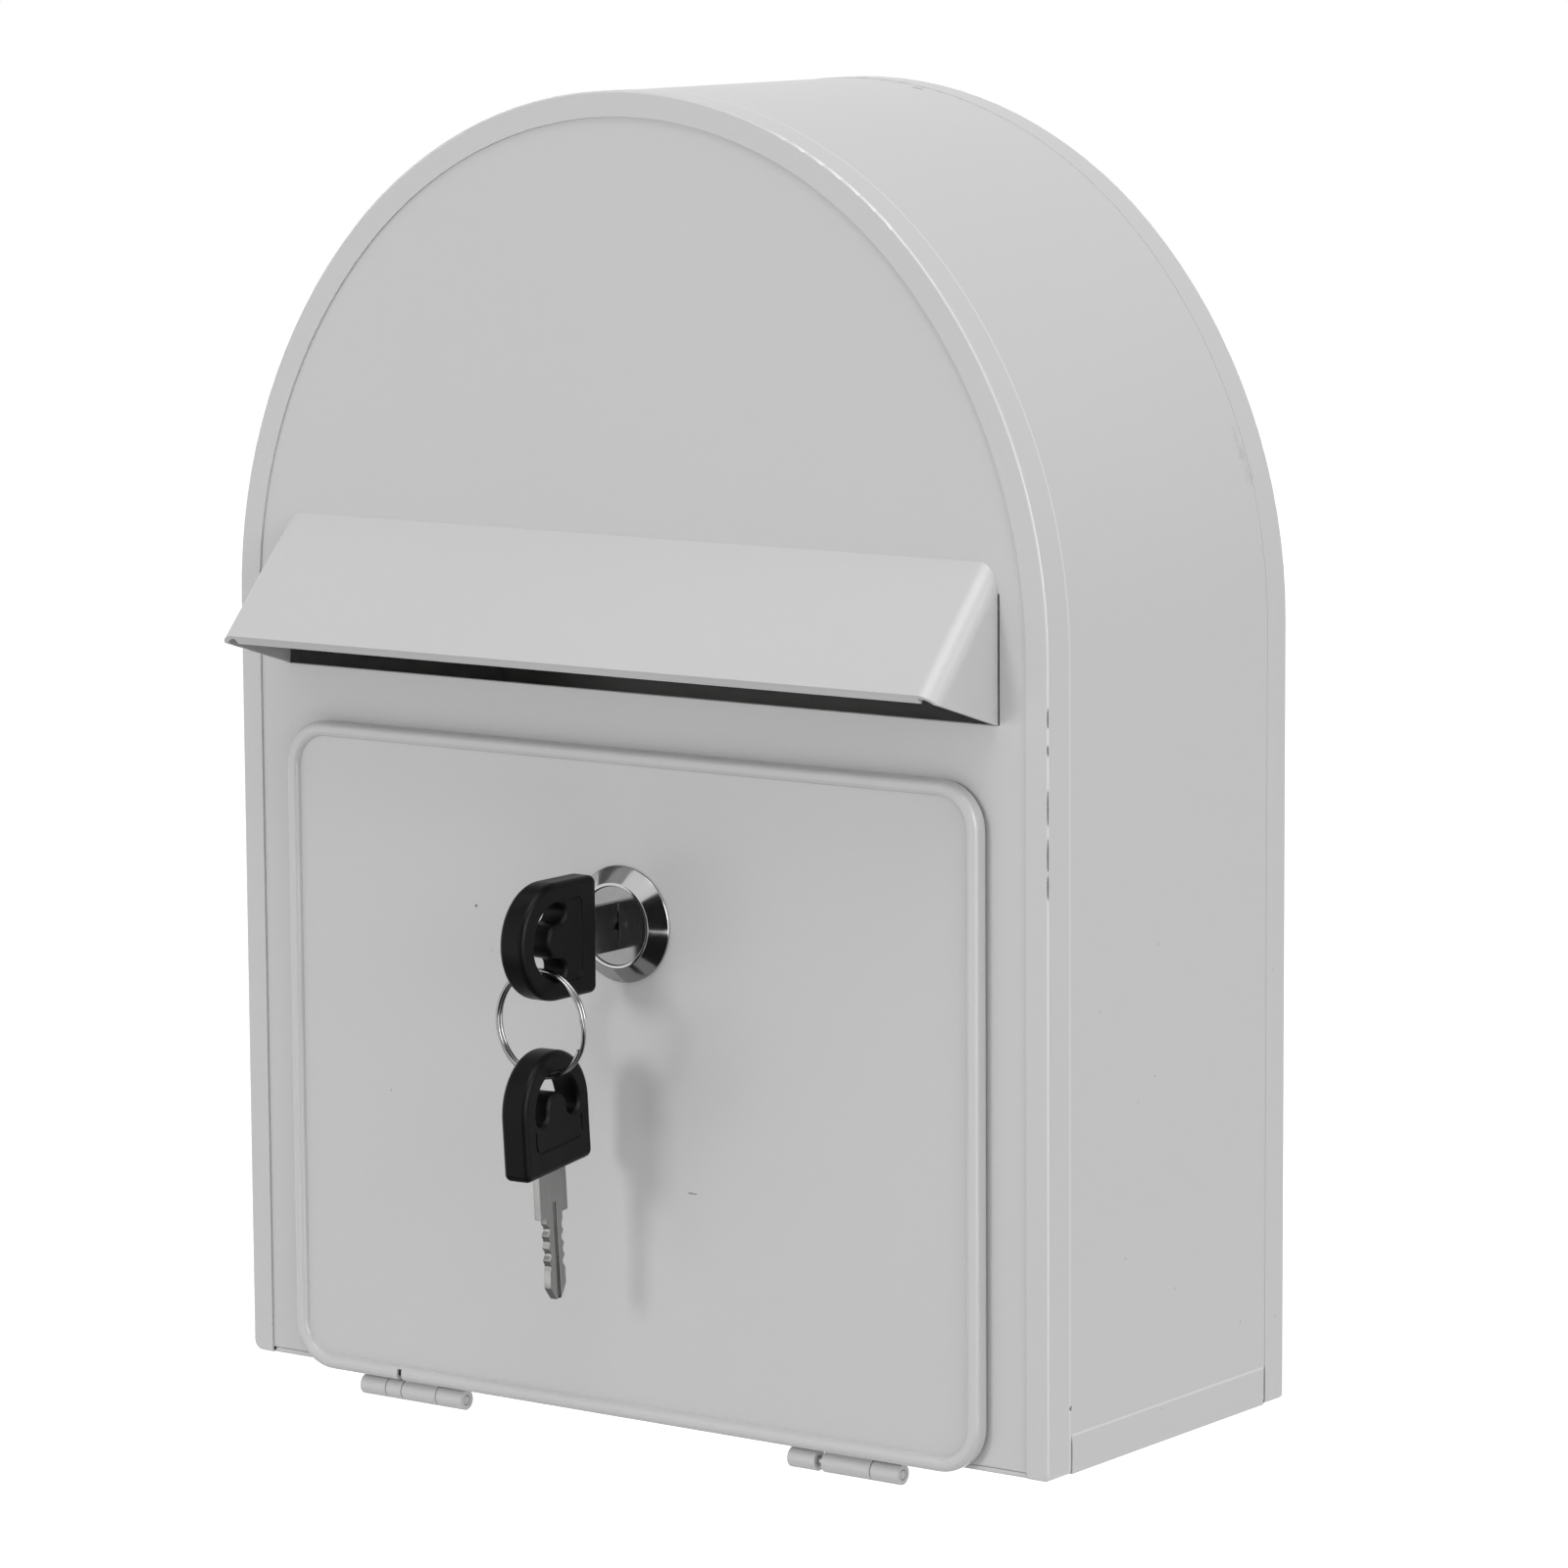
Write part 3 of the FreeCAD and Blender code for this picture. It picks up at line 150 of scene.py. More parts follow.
class NodeBook:
    """Makes the nodes of one node tree."""

    def __init__(self, tree: bpy.types.NodeTree) -> None:
        """Start from an empty tree."""
        self.tree = tree
        tree.nodes.clear()

    def node(self, kind: str, settings: dict | None = None, inputs: dict | None = None) -> bpy.types.Node:
        """Add one node.

        Args:
            kind: the node's type.
            settings: its properties, which are set first.
            inputs: numbers, colours or links for its sockets.

        Returns:
            The new node.
        """
        made = self.tree.nodes.new(kind)
        for key, value in (settings or {}).items():
            setattr(made, key, value)
        for key, value in (inputs or {}).items():
            if isinstance(value, Value):
                self.tree.links.new(value.socket, made.inputs[key])
            elif isinstance(value, bpy.types.NodeSocket):
                self.tree.links.new(value, made.inputs[key])
            else:
                made.inputs[key].default_value = value
        return made

    def place(self) -> bpy.types.NodeSocket:
        """Give the object coordinates."""
        return self.node("ShaderNodeTexCoord").outputs["Object"]

    def noise(
        self, place: bpy.types.NodeSocket, scale: float, detail: float = 2.0, rough: float = 0.5
    ) -> Value:
        """Add a noise field that lies about 0.5.

        Args:
            place: the coordinates.
            scale: features per metre.
            detail: octaves.
            rough: how strong the finer octaves are.

        Returns:
            The noise value.
        """
        inputs = {"Vector": place, "Scale": scale, "Detail": detail, "Roughness": rough}
        return Value(self, self.node("ShaderNodeTexNoise", {}, inputs).outputs["Fac"])

    def stretch(self, place: bpy.types.NodeSocket, scale: tuple[float, float, float]) -> bpy.types.NodeSocket:
        """Scale coordinates along the axes."""
        return self.node("ShaderNodeMapping", {}, {"Vector": place, "Scale": scale}).outputs["Vector"]

    def blend(self, share: Value, first: tuple | bpy.types.NodeSocket, second: tuple) -> bpy.types.NodeSocket:
        """Mix two colours by a share."""
        # Sockets 6 and 7 of a Mix node are its colours, and output 2 is the mixed colour.
        inputs = {0: share, 6: first, 7: second}
        return self.node("ShaderNodeMix", {"data_type": "RGBA"}, inputs).outputs[2]

    def folds(self) -> Value:
        """Give a mask that is 1 on folds half-way between the front and a side."""
        normal = self.node("ShaderNodeTexCoord").outputs["Normal"]
        split = self.node("ShaderNodeSeparateXYZ", {}, {0: normal})
        forward = Value(self, split.outputs[1])
        square = forward * forward
        # The product is a quarter at most, where the surface faces half-way.
        return square * (1.0 - square) * 4.0

    def bump(self, height: Value, depth: float) -> bpy.types.NodeSocket:
        """Turn a height field into a normal."""
        inputs = {"Height": height, "Distance": depth, "Strength": 1.0}
        return self.node("ShaderNodeBump", {}, inputs).outputs["Normal"]

    def surface(self, **inputs: object) -> None:
        """Close the tree with a Principled shader; words in the keys are split by underscores."""
        named = {key.replace("_", " ").title().replace("Ior", "IOR"): value for key, value in inputs.items()}
        shader = self.node("ShaderNodeBsdfPrincipled", {}, named)
        self.node("ShaderNodeOutputMaterial", {}, {"Surface": shader.outputs["BSDF"]})


def grey(level: float, warm: float = 0.0) -> tuple[float, float, float, float]:
    """Give an opaque grey, a little warmer where warm is positive."""
    return (level * (1 + warm), level, level * (1 - warm), 1.0)


def new_book(name: str) -> tuple[bpy.types.Material, NodeBook]:
    """Start a node material."""
    material = bpy.data.materials.new(name)
    material.use_nodes = True
    return material, NodeBook(material.node_tree)


@dataclass(frozen=True)
class Mark:
    """One chip, scratch or strip of painted shade in the paint, in millimetres.

    The edge wanders by ragged times the reach, and depth is how strongly the mark's dark colour shows: for a
    chip, the share of the coat that is gone.
    """

    centre: tuple[float, float, float]
    reach: tuple[float, float, float]
    ragged: float
    depth: float = 1.0


@dataclass(frozen=True)
class SatinPaint:
    """Pale grey powder paint with a faint orange peel, specks and a few chips; where set, it also carries
    painted highlights on folds and along one edge, and painted shade in two gaps.
    """

    name: str = "satin_paint"
    colour: float = 0.56
    rough: float = 0.31
    rough_spread: float = 0.03
    fold_rough: float = 0.31
    # A lighter colour on folds: a painted highlight.
    fold_highlight_colour: float | None = None
    peel_scale: float = 900.0
    peel_depth: float = 0.00004
    cloud_scale: float = 9.0
    cloud_depth: float = 0.02
    speck_scale: float = 150.0
    speck_radius: float = 0.05
    speck_core: float = 0.6
    speck_share: float = 0.04
    speck_choice: float = 0.005
    speck_depth: float = 0.35
    ragged_scale: float = 1500.0
    # The dark colour of chips and specks, also used for painted shade in two gaps.
    chip_and_shade_colour: float = 0.13
    mark_edge: float = 0.2
    mark_rough: float = 0.2
    mark_dent: float = 0.6
    ior: float = 1.5
    # A pale line along one edge of a sheet: a painted highlight.
    edge_highlight_colour: float = 0.68
    edge_highlight_width: float = 0.3 * MM
    edge_highlight_core: float = 0.4
    edge_highlight_axis: Axis = Axis.DEPTH
    edge_highlight_place: float | None = None
    marks: tuple[Mark, ...] = ()

    def material(self) -> bpy.types.Material:
        """Make the material."""
        material, book = new_book(self.name)
        place = book.place()
        cloud = book.noise(place, self.cloud_scale, detail=3.0)
        peel = book.noise(place, self.peel_scale)
        low = grey(self.colour * (1 - self.cloud_depth))
        high = grey(self.colour * (1 + self.cloud_depth))
        # Chips, specks and the painted shade in the floor flange's end gaps share one mask and one dark
        # colour.
        worn_and_shaded = self.chips_and_gap_shade(book, place).larger(self.specks(book, place))
        coat = book.blend(cloud, low, high)
        # Where a fold colour is given, the folds are painted lighter: a painted highlight along the folds.
        if self.fold_highlight_colour is not None:
            coat = book.blend(book.folds(), coat, grey(self.fold_highlight_colour))
        # A pale line along a sheet's far edge, where one is placed: a painted highlight.
        if self.edge_highlight_place is not None:
            coat = book.blend(self.painted_edge_highlight(book, place), coat, grey(self.edge_highlight_colour))
        colour = book.blend(worn_and_shaded, coat, grey(self.chip_and_shade_colour))
        plain = (cloud - 0.5) * (2 * self.rough_spread) + self.rough + worn_and_shaded * self.mark_rough
        rough = plain - book.folds() * (self.rough - self.fold_rough)
        normal = book.bump(peel - worn_and_shaded * self.mark_dent, self.peel_depth)
        book.surface(base_color=colour, roughness=rough, normal=normal, ior=self.ior)
        return material

    def painted_edge_highlight(self, book: NodeBook, place: bpy.types.NodeSocket) -> Value:
        """Give a mask of the painted highlight, a pale line along a sheet's far edge."""
        split = book.node("ShaderNodeSeparateXYZ", {}, {0: place})
        beyond = Value(book, split.outputs[self.edge_highlight_axis.value]) - (self.edge_highlight_place - self.edge_highlight_width)
        return 1.0 - beyond.math("ABSOLUTE").step(self.edge_highlight_width * self.edge_highlight_core, self.edge_highlight_width)

    def specks(self, book: NodeBook, place: bpy.types.NodeSocket) -> Value:
        """Give a mask of a few small dark specks."""
        inputs = {"Vector": place, "Scale": self.speck_scale}
        cells = book.node("ShaderNodeTexVoronoi", {"feature": "F1"}, inputs)
        far = Value(book, cells.outputs["Distance"])
        near = 1.0 - far.step(self.speck_radius * self.speck_core, self.speck_radius)
        split = book.node("ShaderNodeSeparateColor", {}, {0: cells.outputs["Color"]})
        chosen = Value(book, split.outputs[0])
        common = 1.0 - self.speck_share
        return near * chosen.step(common - self.speck_choice, common) * self.speck_depth

    def chips_and_gap_shade(self, book: NodeBook, place: bpy.types.NodeSocket) -> Value:
        """Give a ragged mask of the chips and scratches, and of the painted shade in the floor flange's end
        gaps.
        """
        ragged = book.noise(place, self.ragged_scale, detail=3.0, rough=0.65)
        mask = ragged * 0.0
        for mark in self.marks:
            centre = [value * MM for value in mark.centre]
            reach = [value * MM for value in mark.reach]
            moved = book.node("ShaderNodeVectorMath", {"operation": "SUBTRACT"}, {0: place, 1: centre})
            inputs = {0: moved.outputs[0], 1: reach}
            scaled = book.node("ShaderNodeVectorMath", {"operation": "DIVIDE"}, inputs)
            length = book.node("ShaderNodeVectorMath", {"operation": "LENGTH"}, {0: scaled.outputs[0]})
            inside = 1.0 - Value(book, length.outputs["Value"]) + (ragged - 0.5) * (2 * mark.ragged)
            mask = mask.larger(inside.step(0.0, self.mark_edge) * mark.depth)
        return mask


@dataclass(frozen=True)
class PaintedPin:
    """A steel pin whose ends were painted with the box, bare where the knuckles leave it open."""

    bare_from: float
    bare_to: float
    name: str
    paint: float = 0.56
    steel: float = 0.6
    paint_rough: float = 0.36
    steel_rough: float = 0.2
    rough_spread: float = 0.05
    mottle_scale: float = 300.0
    soft: float = 0.1 * MM

    def material(self) -> bpy.types.Material:
        """Make the material."""
        material, book = new_book(self.name)
        place = book.place()
        split = book.node("ShaderNodeSeparateXYZ", {}, {0: place})
        across = Value(book, split.outputs[0])
        after = across.step(self.bare_from - self.soft, self.bare_from + self.soft)
        before = 1.0 - across.step(self.bare_to - self.soft, self.bare_to + self.soft)
        bare = after * before
        mottle = book.noise(place, self.mottle_scale, detail=3.0)
        colour = book.blend(bare, grey(self.paint), grey(self.steel))
        plain = self.paint_rough - bare * (self.paint_rough - self.steel_rough)
        rough = plain + (mottle - 0.5) * (2 * self.rough_spread)
        book.surface(base_color=colour, metallic=bare, roughness=rough)
        return material


@dataclass(frozen=True)
class Metal:
    """A metal with fine lines or a soft mottle in its gloss."""

    name: str
    colour: float
    rough: float
    warm: float = 0.0
    rough_spread: float = 0.06
    line_scale: tuple[float, float, float] = (400.0, 400.0, 400.0)
    line_depth: float = 0.0
    tone_spread: float = 0.05
    smear_scale: float = 160.0

    def material(self) -> bpy.types.Material:
        """Make the material."""
        material, book = new_book(self.name)
        place = book.place()
        lines = book.noise(book.stretch(place, self.line_scale), 1.0, detail=4.0, rough=0.6)
        smears = book.noise(place, self.smear_scale, detail=3.0)
        low = grey(self.colour * (1 - self.tone_spread), self.warm)
        high = grey(self.colour * (1 + self.tone_spread), self.warm)
        colour = book.blend(lines, low, high)
        rough = (smears - 0.5) * (2 * self.rough_spread) + self.rough
        normal = book.bump(lines, self.line_depth)
        book.surface(base_color=colour, metallic=1.0, roughness=rough, normal=normal)
        return material


@dataclass(frozen=True)
class MouldedPlastic:
    """Black moulded plastic with a fine spark-eroded grain."""

    name: str = "moulded_plastic"
    rubbed_colour: float = 0.0042
    deep_colour: float = 0.0024
    rough: float = 0.36
    rough_spread: float = 0.1
    rub_scale: float = 220.0
    grain_scale: float = 3500.0
    grain_depth: float = 0.00003
    ior: float = 1.23

    def material(self) -> bpy.types.Material:
        """Make the material."""
        material, book = new_book(self.name)
        place = book.place()
        grain = book.noise(place, self.grain_scale)
        rubbed = book.noise(place, self.rub_scale, detail=3.0)
        colour = book.blend(rubbed, grey(self.deep_colour), grey(self.rubbed_colour))
        rough = (rubbed - 0.5) * (2 * self.rough_spread) + self.rough
        normal = book.bump(grain, self.grain_depth)
        book.surface(base_color=colour, roughness=rough, normal=normal, ior=self.ior)
        return material


FRONT_EDGE = (99.85, -84.65)
WEAR_AND_GAP_SHADE = (
    # Chips down the frame's right front edge.
    Mark((*FRONT_EDGE, 17.6), (0.2, 0.2, 2.2), 0.3),
    Mark((*FRONT_EDGE, 11.5), (0.2, 0.2, 1.2), 0.4),
    Mark((*FRONT_EDGE, 0.5), (0.2, 0.2, 4.0), 0.3),
    Mark((*FRONT_EDGE, -8.6), (0.22, 0.22, 3.6), 0.3),
    Mark((*FRONT_EDGE, -14.6), (0.22, 0.22, 2.8), 0.35),
    # A chip low on the side, and painted shade in the gaps at both ends of the floor's flange.
    Mark((100.0, -77.1, -116.8), (0.7, 0.5, 0.6), 0.8),
    Mark((99.9, -76.75, -126.2), (0.6, 0.3, 4.0), 0.25, 0.75),
    Mark((99.9, -7.05, -126.0), (0.7, 0.3, 4.4), 0.25, 0.6),
    # Faint scuffs near the back edge.
    Mark((93.3, -8.9, 64.6), (1.0, 0.9, 2.4), 2.4, 0.1),
    Mark((94.4, -8.4, 60.8), (1.0, 1.3, 2.4), 2.4, 0.16),
    Mark((95.6, -7.6, 56.9), (1.2, 1.3, 2.2), 2.4, 0.12),
    # A scratch and a speck on the door, and a mark on top.
    Mark((16.5, -86.8, -82.9), (1.3, 0.5, 0.14), 0.7),
    Mark((-37.2, -86.8, -30.1), (0.3, 0.5, 0.3), 0.7),
    Mark((18.0, -9.9, 131.8), (1.6, 0.4, 0.8), 0.7),
)


class Finishes:
    """Every material of the mailbox, made once."""

    def __init__(self) -> None:
        """Make the materials."""
        self.paint = SatinPaint(marks=WEAR_AND_GAP_SHADE).material()
        self.fold_paint = SatinPaint("fold_paint", fold_rough=0.13, marks=WEAR_AND_GAP_SHADE).material()
        # The frame's paint has painted highlights on its folds and along its rear edge.
        rear_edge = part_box("front_frame")[1].y
        self.frame_paint = SatinPaint(
            "frame_paint", fold_rough=0.13, fold_highlight_colour=0.65, edge_highlight_place=rear_edge, marks=WEAR_AND_GAP_SHADE
        ).material()
        # The floor's paint has a painted highlight along the top edge of its flange.
        flange_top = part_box("bottom_plate")[1].z
        self.floor_paint = SatinPaint(
            "floor_paint", edge_highlight_axis=Axis.HEIGHT, edge_highlight_place=flange_top, marks=WEAR_AND_GAP_SHADE
        ).material()
        self.chrome = Metal("lock_chrome", 0.5, 0.12, rough_spread=0.05, tone_spread=0.06).material()
        # The plug's chrome is much darker than the bezel's: a painted dark reflection across the plug's face.
        self.core = Metal("core_chrome_painted_reflection", 0.26, 0.14, rough_spread=0.05, tone_spread=0.12).material()
        self.nickel = Metal(
            "key_nickel", 0.36, 0.21, warm=0.01, rough_spread=0.08, tone_spread=0.15,
            line_scale=(2500.0, 900.0, 160.0), line_depth=0.00002,
        ).material()
        self.steel = Metal(
            "zinc_steel", 0.55, 0.34, rough_spread=0.08, tone_spread=0.08,
            line_scale=(300.0, 300.0, 300.0), line_depth=0.00001,
        ).material()
        self.spring = Metal("ring_steel", 0.32, 0.2, rough_spread=0.05).material()
        self.brass = Metal("wafer_brass", 0.55, 0.3, warm=0.25).material()
        self.plastic = MouldedPlastic().material()


def link_mesh(name: str, work: bmesh.types.BMesh, material: bpy.types.Material) -> bpy.types.Object:
    """Turn a bmesh into an object of the scene.

    Args:
        name: the piece's name.
        work: the finished bmesh, which is freed.
        material: its finish.

    Returns:
        The new object, at the origin.
    """
    mesh = bpy.data.meshes.new(name)
    work.to_mesh(mesh)
    work.free()
    mesh.materials.append(material)
    mesh.shade_smooth()
    mesh.set_sharp_from_angle(angle=math.radians(SHARP_ANGLE))
    piece = bpy.data.objects.new(name, mesh)
    bpy.context.scene.collection.objects.link(piece)
    return piece


def settle(piece: bpy.types.Object, body: Body, slot: Slot, *nodes: str) -> bpy.types.Object:
    """Let a piece ride on its body and stand for the given nodes."""
    if nodes:
        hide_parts(*nodes)
    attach(piece, body.value)
    LOG.info("%s rides on %s", piece.name, body.value)
    return piece


@dataclass(frozen=True)
class Refined:
    """A CAD piece with its facets merged and its edges softly rounded."""

    node: str
    body: Body
    slot: Slot
    rounding: float = 0.2 * MM
    grow: float = 0.0
    segments: int = 2
    crease: float = 30.0
    merge: float = 0.002 * MM
    flat_angle: float = 0.3

    def build(self, material: bpy.types.Material) -> bpy.types.Object:
        """Copy the node's mesh, round its edges and replace the node.

        Args:
            material: the finish.

        Returns:
            The new piece.
        """
        work = bmesh.new()
        work.from_mesh(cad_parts[self.node].data)
        bmesh.ops.remove_doubles(work, verts=work.verts, dist=self.merge)
        bmesh.ops.dissolve_limit(
            work, angle_limit=math.radians(self.flat_angle), use_dissolve_boundaries=False,
            verts=work.verts, edges=work.edges,
        )
        limit = math.radians(self.crease)
        edges = [edge for edge in work.edges if edge.is_manifold and edge.calc_face_angle() > limit]
        bmesh.ops.bevel(
            work, geom=edges, offset=self.rounding, offset_type="OFFSET", affect="EDGES",
            segments=self.segments, profile=0.5, material=-1, clamp_overlap=True,
        )
        piece = link_mesh(f"{self.node}_skin", work, material)
        if self.grow:
            swell = piece.modifiers.new("paint_build", "DISPLACE")
            swell.mid_level = 0.0
            swell.strength = self.grow
        weighted = piece.modifiers.new("even_normals", "WEIGHTED_NORMAL")
        weighted.keep_sharp = True
        return settle(piece, self.body, self.slot, self.node)


@dataclass
class MailboxShell:
    """The sheet-metal box: wrap, front frame, front panel, back, bottom and hood."""

    finishes: Finishes
    sheet_edge: float = 0.22 * MM
    frame_edge: float = 0.22 * MM
    hood_edge: float = 0.3 * MM
    back_edge: float = 0.3 * MM
    lap_fill: float = 0.5 * MM
    slit_fill: float = 0.08 * MM

    def build(self) -> None:
        """Make every box piece; paint fills the laps of the wrap and the panel."""
        shapes = {
            "shell_wrap": (self.sheet_edge, self.lap_fill, self.finishes.paint),
            "front_frame": (self.frame_edge, 0.0, self.finishes.frame_paint),
            "front_panel": (self.sheet_edge, self.slit_fill, self.finishes.paint),
            "back_panel": (self.back_edge, 0.0, self.finishes.fold_paint),
            "bottom_plate": (self.sheet_edge, 0.0, self.finishes.floor_paint),
            "slot_hood": (self.hood_edge, self.slit_fill, self.finishes.paint),
        }
        for node, (rounding, grow, finish) in shapes.items():
            Refined(node, Body.BOX, Slot.PAINT, rounding, grow).build(finish)


@dataclass
class DoorLeaf:
    """The pressed door with its hinges."""

    finishes: Finishes
    door_edge: float = 0.2 * MM
    hinge_edge: float = 0.15 * MM
    pin_edge: float = 0.3 * MM

    def build(self) -> None:
        """Make the door and both hinges."""
        paint = self.finishes.paint
        Refined("door_panel", Body.DOOR, Slot.PAINT, self.door_edge).build(self.finishes.fold_paint)
        for side in ("left", "right"):
            box_leaf = f"hinge_leaf_box_{side}"
            door_leaf = f"hinge_leaf_door_{side}"
            Refined(box_leaf, Body.BOX, Slot.PAINT, self.hinge_edge).build(paint)
            Refined(door_leaf, Body.DOOR, Slot.PAINT, self.hinge_edge).build(paint)
            low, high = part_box(f"hinge_pin_{side}")
            quarter = (high.x - low.x) / 4
            pin = PaintedPin(low.x + quarter, high.x - quarter, f"painted_pin_{side}")
            Refined(f"hinge_pin_{side}", Body.BOX, Slot.STEEL, self.pin_edge).build(pin.material())


@dataclass
class CamLock:
    """The chromed cam lock and what turns in it."""

    finishes: Finishes
    edge: float = 0.15 * MM
    wafer_edge: float = 0.05 * MM

    def build(self) -> None:
        """Make the lock's pieces."""
        Refined("lock_body", Body.DOOR, Slot.CHROME, self.edge).build(self.finishes.chrome)
        Refined("lock_nut", Body.DOOR, Slot.STEEL, self.edge).build(self.finishes.steel)
        Refined("lock_plug", Body.LOCK, Slot.CHROME, self.edge).build(self.finishes.core)
        for node in ("lock_cam", "cam_washer", "cam_screw"):
            Refined(node, Body.LOCK, Slot.STEEL, self.edge).build(self.finishes.steel)
        Refined("lock_wafers", Body.LOCK, Slot.BRASS, self.wafer_edge).build(self.finishes.brass)


@dataclass
class KeySet:
    """Two keys on a split ring."""

    finishes: Finishes
    blade_edge: float = 0.1 * MM
    bow_edge: float = 0.15 * MM
    wire_sides: int = 16
    wire_radius: float = 0.45 * MM
    coil_pitch: float = 0.84 * MM
    cut_angle: float = 24.0
    coil_angle: float = 325.0
    jog_angle: float = 35.0
    step_angle: float = 4.0

    def build(self) -> None:
        """Make the keys and the ring."""
        for prefix, body in (("key", Body.KEY), ("spare_key", Body.SPARE)):
            Refined(f"{prefix}_blade", body, Slot.STEEL, self.blade_edge).build(self.finishes.nickel)
            Refined(f"{prefix}_bow", body, Slot.PLASTIC, self.bow_edge).build(self.finishes.plastic)
        self.build_ring()

    def build_ring(self) -> bpy.types.Object:
        """Wind the split ring: one coil, a short jog and the coil behind it, all spun from one wire."""
        low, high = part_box("key_ring")
        middle = (low + high) / 2
        radius = (high.x - low.x) / 2 - self.wire_radius
        turn = Matrix.Rotation(math.radians(self.cut_angle), 4, "Y")
        start = Matrix.Translation((radius, -self.coil_pitch / 2, 0.0))
        work = bmesh.new()
        bmesh.ops.create_circle(
            work, cap_ends=True, segments=self.wire_sides, radius=self.wire_radius,
            matrix=Matrix.Translation(middle) @ turn @ start,
        )
        last = work.faces[:]
        coil = (self.coil_angle, 0.0)
        for angle, drift in (coil, (self.jog_angle, self.coil_pitch), coil):
            last = self.wind(work, last, middle, angle, drift)
        bmesh.ops.recalc_face_normals(work, faces=work.faces)
        piece = link_mesh("key_ring_coil", work, self.finishes.spring)
        return settle(piece, Body.RING, Slot.STEEL, "key_ring")

    def wind(self, work: bmesh.types.BMesh, face: list, middle: Vector, angle: float, drift: float) -> list:
        """Spin the wire's end face on about the ring's axis.

        Args:
            work: the ring's mesh.
            face: the end face to go on from.
            middle: the ring's centre.
            angle: how far to go, in degrees.
            drift: how far the wire moves back along the axis meanwhile.

        Returns:
            The new end face.
        """
        steps = round(angle / self.step_angle)
        spun = bmesh.ops.spin(
            work, geom=face, cent=middle, axis=(0.0, 1.0, 0.0), dvec=(0.0, drift / steps, 0.0),
            angle=math.radians(angle), steps=steps, use_merge=False, use_duplicate=False,
        )
        return [item for item in spun["geom_last"] if isinstance(item, bmesh.types.BMFace)]


def facing(place: tuple[float, float, float], target: tuple[float, float, float]) -> Matrix:
    """Give the transform of something at a place that looks at a target along its own -Z."""
    aim = Vector(target) - Vector(place)
    return Matrix.Translation(place) @ aim.to_track_quat("-Z", "Y").to_matrix().to_4x4()


@dataclass(frozen=True)
class Softbox:
    """One rectangular studio lamp that looks at the mailbox."""

    name: str
    place: tuple[float, float, float]
    size: tuple[float, float]
    power: float
    reach: Reach = Reach.ALL
    target: tuple[float, float, float] = (0.0, -0.04, 0.0)

    def build(self) -> None:
        """Hang the lamp."""
        data = bpy.data.lights.new(self.name, "AREA")
        data.shape = "RECTANGLE"
        data.size, data.size_y = self.size
        data.energy = self.power
        lamp = bpy.data.objects.new(self.name, data)
        lamp.matrix_world = facing(self.place, self.target)
        lamp.visible_diffuse = self.reach is not Reach.MIRRORS
        lamp.visible_glossy = self.reach is not Reach.MATT
        bpy.context.scene.collection.objects.link(lamp)


@dataclass(frozen=True)
class Card:
    """A studio card that only mirrors see, so that bright metal has something to show."""

    name: str
    place: tuple[float, float, float]
    half_size: tuple[float, float]
    level: float
    target: tuple[float, float, float] = (0.0, -0.09, -0.03)
    mottle_scale: float = 3.0
    mottle_depth: float = 0.3

    def build(self) -> None:
        """Hang the card."""
        work = bmesh.new()
        spread = Matrix.Diagonal((*self.half_size, 1.0, 1.0))
        bmesh.ops.create_grid(
            work, x_segments=1, y_segments=1, size=1.0, matrix=facing(self.place, self.target) @ spread
        )
        material, book = new_book(self.name)
        mottle = book.noise(book.place(), self.mottle_scale)
        low = grey(self.level * (1 - self.mottle_depth))
        high = grey(self.level * (1 + self.mottle_depth))
        colour = book.blend(mottle, low, high)
        glow = book.node("ShaderNodeEmission", {}, {"Color": colour, "Strength": 1.0})
        book.node("ShaderNodeOutputMaterial", {}, {"Surface": glow.outputs[0]})
        card = link_mesh(self.name, work, material)
        card.visible_camera = False
        card.visible_diffuse = False
        card.visible_shadow = False


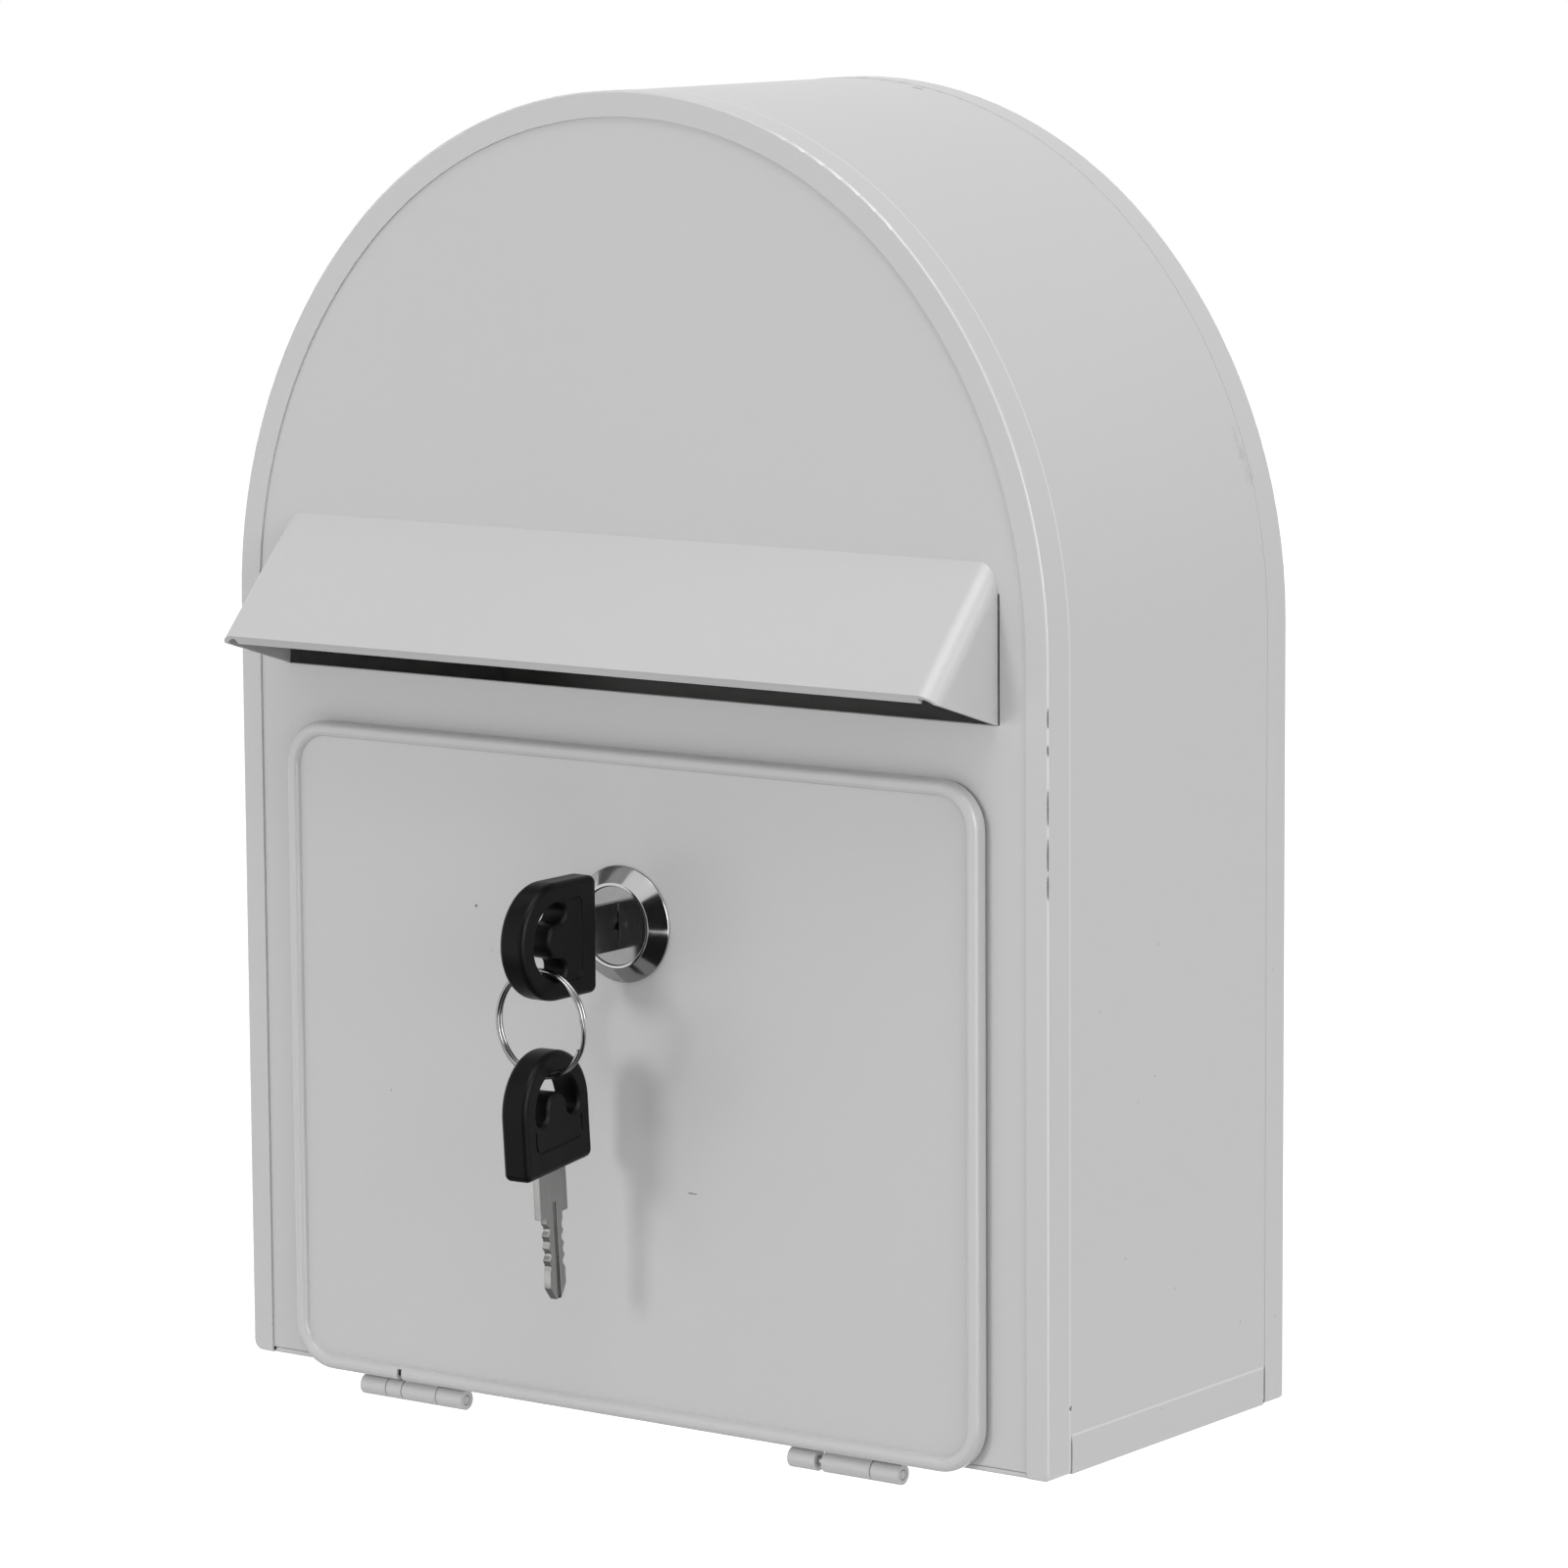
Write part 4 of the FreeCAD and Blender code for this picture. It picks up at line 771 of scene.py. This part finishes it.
@dataclass
class Studio:
    """White room, floor, lamps and the camera at the photograph's place."""

    floor_level: float = -0.45
    floor_size: float = 6.0
    floor_colour: float = 0.8
    floor_glow: float = 0.75
    ambient: float = 0.475
    far_clip: float = 20.0
    lens_mm: float = 151.97
    sensor_mm: float = 36.0
    azimuth: float = 36.21
    elevation: float = 8.19
    roll: float = -0.37
    eye: tuple[float, float, float] = (0.78972, -1.11114, 0.18345)
    lamps: tuple[Softbox, ...] = (
        Softbox("key_softbox", (-0.28, -1.5, 0.3), (0.3, 0.3), 5.5, Reach.MATT),
        Softbox("fill_softbox", (1.35, -0.8, 0.3), (0.5, 0.5), 1.4),
        Softbox("side_softbox", (1.7, -0.25, 0.6), (0.9, 0.9), 6.4),
        Softbox("edge_strip", (1.45, -0.6, 0.2), (0.9, 1.5), 9.0, Reach.MIRRORS),
        Softbox("top_softbox", (0.4, -0.5, 1.6), (1.0, 1.0), 10.4),
    )
    cards: tuple[Card, ...] = (
        Card("camera_card", (1.2, -1.55, 0.3), (0.72, 1.0), 0.012),
        Card("near_floor_card", (0.6, -0.85, -0.44), (0.5, 0.85), 0.015, (0.6, -0.85, 0.5)),
        Card("left_card", (-1.1, -0.55, 1.1), (0.5, 0.6), 0.4),
        Card("left_floor_card", (-0.45, -0.35, -0.445), (0.6, 0.6), 0.25, (-0.45, -0.35, 0.5)),
    )

    def build(self) -> None:
        """Set up everything that isn't the object."""
        self.build_world()
        self.build_floor()
        for fitting in (*self.lamps, *self.cards):
            fitting.build()
        self.build_camera()
        bpy.context.scene.view_settings.view_transform = "Standard"

    @staticmethod
    def seen_rays(book: NodeBook) -> Value:
        """Give 1 for camera, glossy and transmission rays."""
        path = book.node("ShaderNodeLightPath")
        seen = Value(book, path.outputs["Is Camera Ray"])
        for name in ("Is Glossy Ray", "Is Transmission Ray"):
            seen = seen.larger(Value(book, path.outputs[name]))
        return seen

    def build_world(self) -> None:
        """Make the white surround, plain to the eye and softer as light."""
        world = bpy.data.worlds.new("studio_white")
        world.use_nodes = True
        bpy.context.scene.world = world
        book = NodeBook(world.node_tree)
        seen = self.seen_rays(book)
        light = book.node("ShaderNodeBackground", {}, {"Color": grey(1.0), "Strength": self.ambient})
        white = book.node("ShaderNodeBackground", {}, {"Color": grey(1.0), "Strength": 1.0})
        mixed = book.node("ShaderNodeMixShader", {}, {0: seen, 1: light.outputs[0], 2: white.outputs[0]})
        book.node("ShaderNodeOutputWorld", {}, {"Surface": mixed.outputs[0]})

    def build_floor(self) -> None:
        """Lay the plain pale floor."""
        work = bmesh.new()
        bmesh.ops.create_grid(
            work, x_segments=1, y_segments=1, size=self.floor_size,
            matrix=Matrix.Translation((0.0, 0.0, self.floor_level)),
        )
        material, book = new_book("pale_floor")
        seen = self.seen_rays(book)
        paint = book.node("ShaderNodeBsdfDiffuse", {}, {"Color": grey(self.floor_colour)})
        glow = book.node("ShaderNodeEmission", {}, {"Color": grey(1.0), "Strength": self.floor_glow})
        both = book.node("ShaderNodeAddShader", {}, {0: paint.outputs[0], 1: glow.outputs[0]})
        mixed = book.node("ShaderNodeMixShader", {}, {0: seen, 1: paint.outputs[0], 2: both.outputs[0]})
        book.node("ShaderNodeOutputMaterial", {}, {"Surface": mixed.outputs[0]})
        link_mesh("pale_floor", work, material)

    def build_camera(self) -> None:
        """Place the camera where the photograph was taken."""
        turn, tilt, lean = (math.radians(value) for value in (self.azimuth, self.elevation, self.roll))
        back = Vector((math.sin(turn) * math.cos(tilt), -math.cos(turn) * math.cos(tilt), math.sin(tilt)))
        right = Vector((math.cos(turn), math.sin(turn), 0.0))
        up = back.cross(right)
        down = -up
        image_right = right * math.cos(lean) - down * math.sin(lean)
        image_down = right * math.sin(lean) + down * math.cos(lean)
        data = bpy.data.cameras.new("photo_camera")
        data.lens = self.lens_mm
        data.sensor_width = self.sensor_mm
        data.clip_end = self.far_clip
        camera = bpy.data.objects.new("photo_camera", data)
        axes = Matrix((image_right, -image_down, back)).transposed()
        camera.matrix_world = Matrix.Translation(self.eye) @ axes.to_4x4()
        bpy.context.scene.collection.objects.link(camera)
        bpy.context.scene.camera = camera


def main() -> None:
    """Build every piece round the frame, then the studio."""
    logging.basicConfig(level=logging.INFO, format="%(message)s")
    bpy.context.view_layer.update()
    finishes = Finishes()
    MailboxShell(finishes).build()
    DoorLeaf(finishes).build()
    CamLock(finishes).build()
    KeySet(finishes).build()
    Studio().build()


if __name__ == "__main__":
    main()
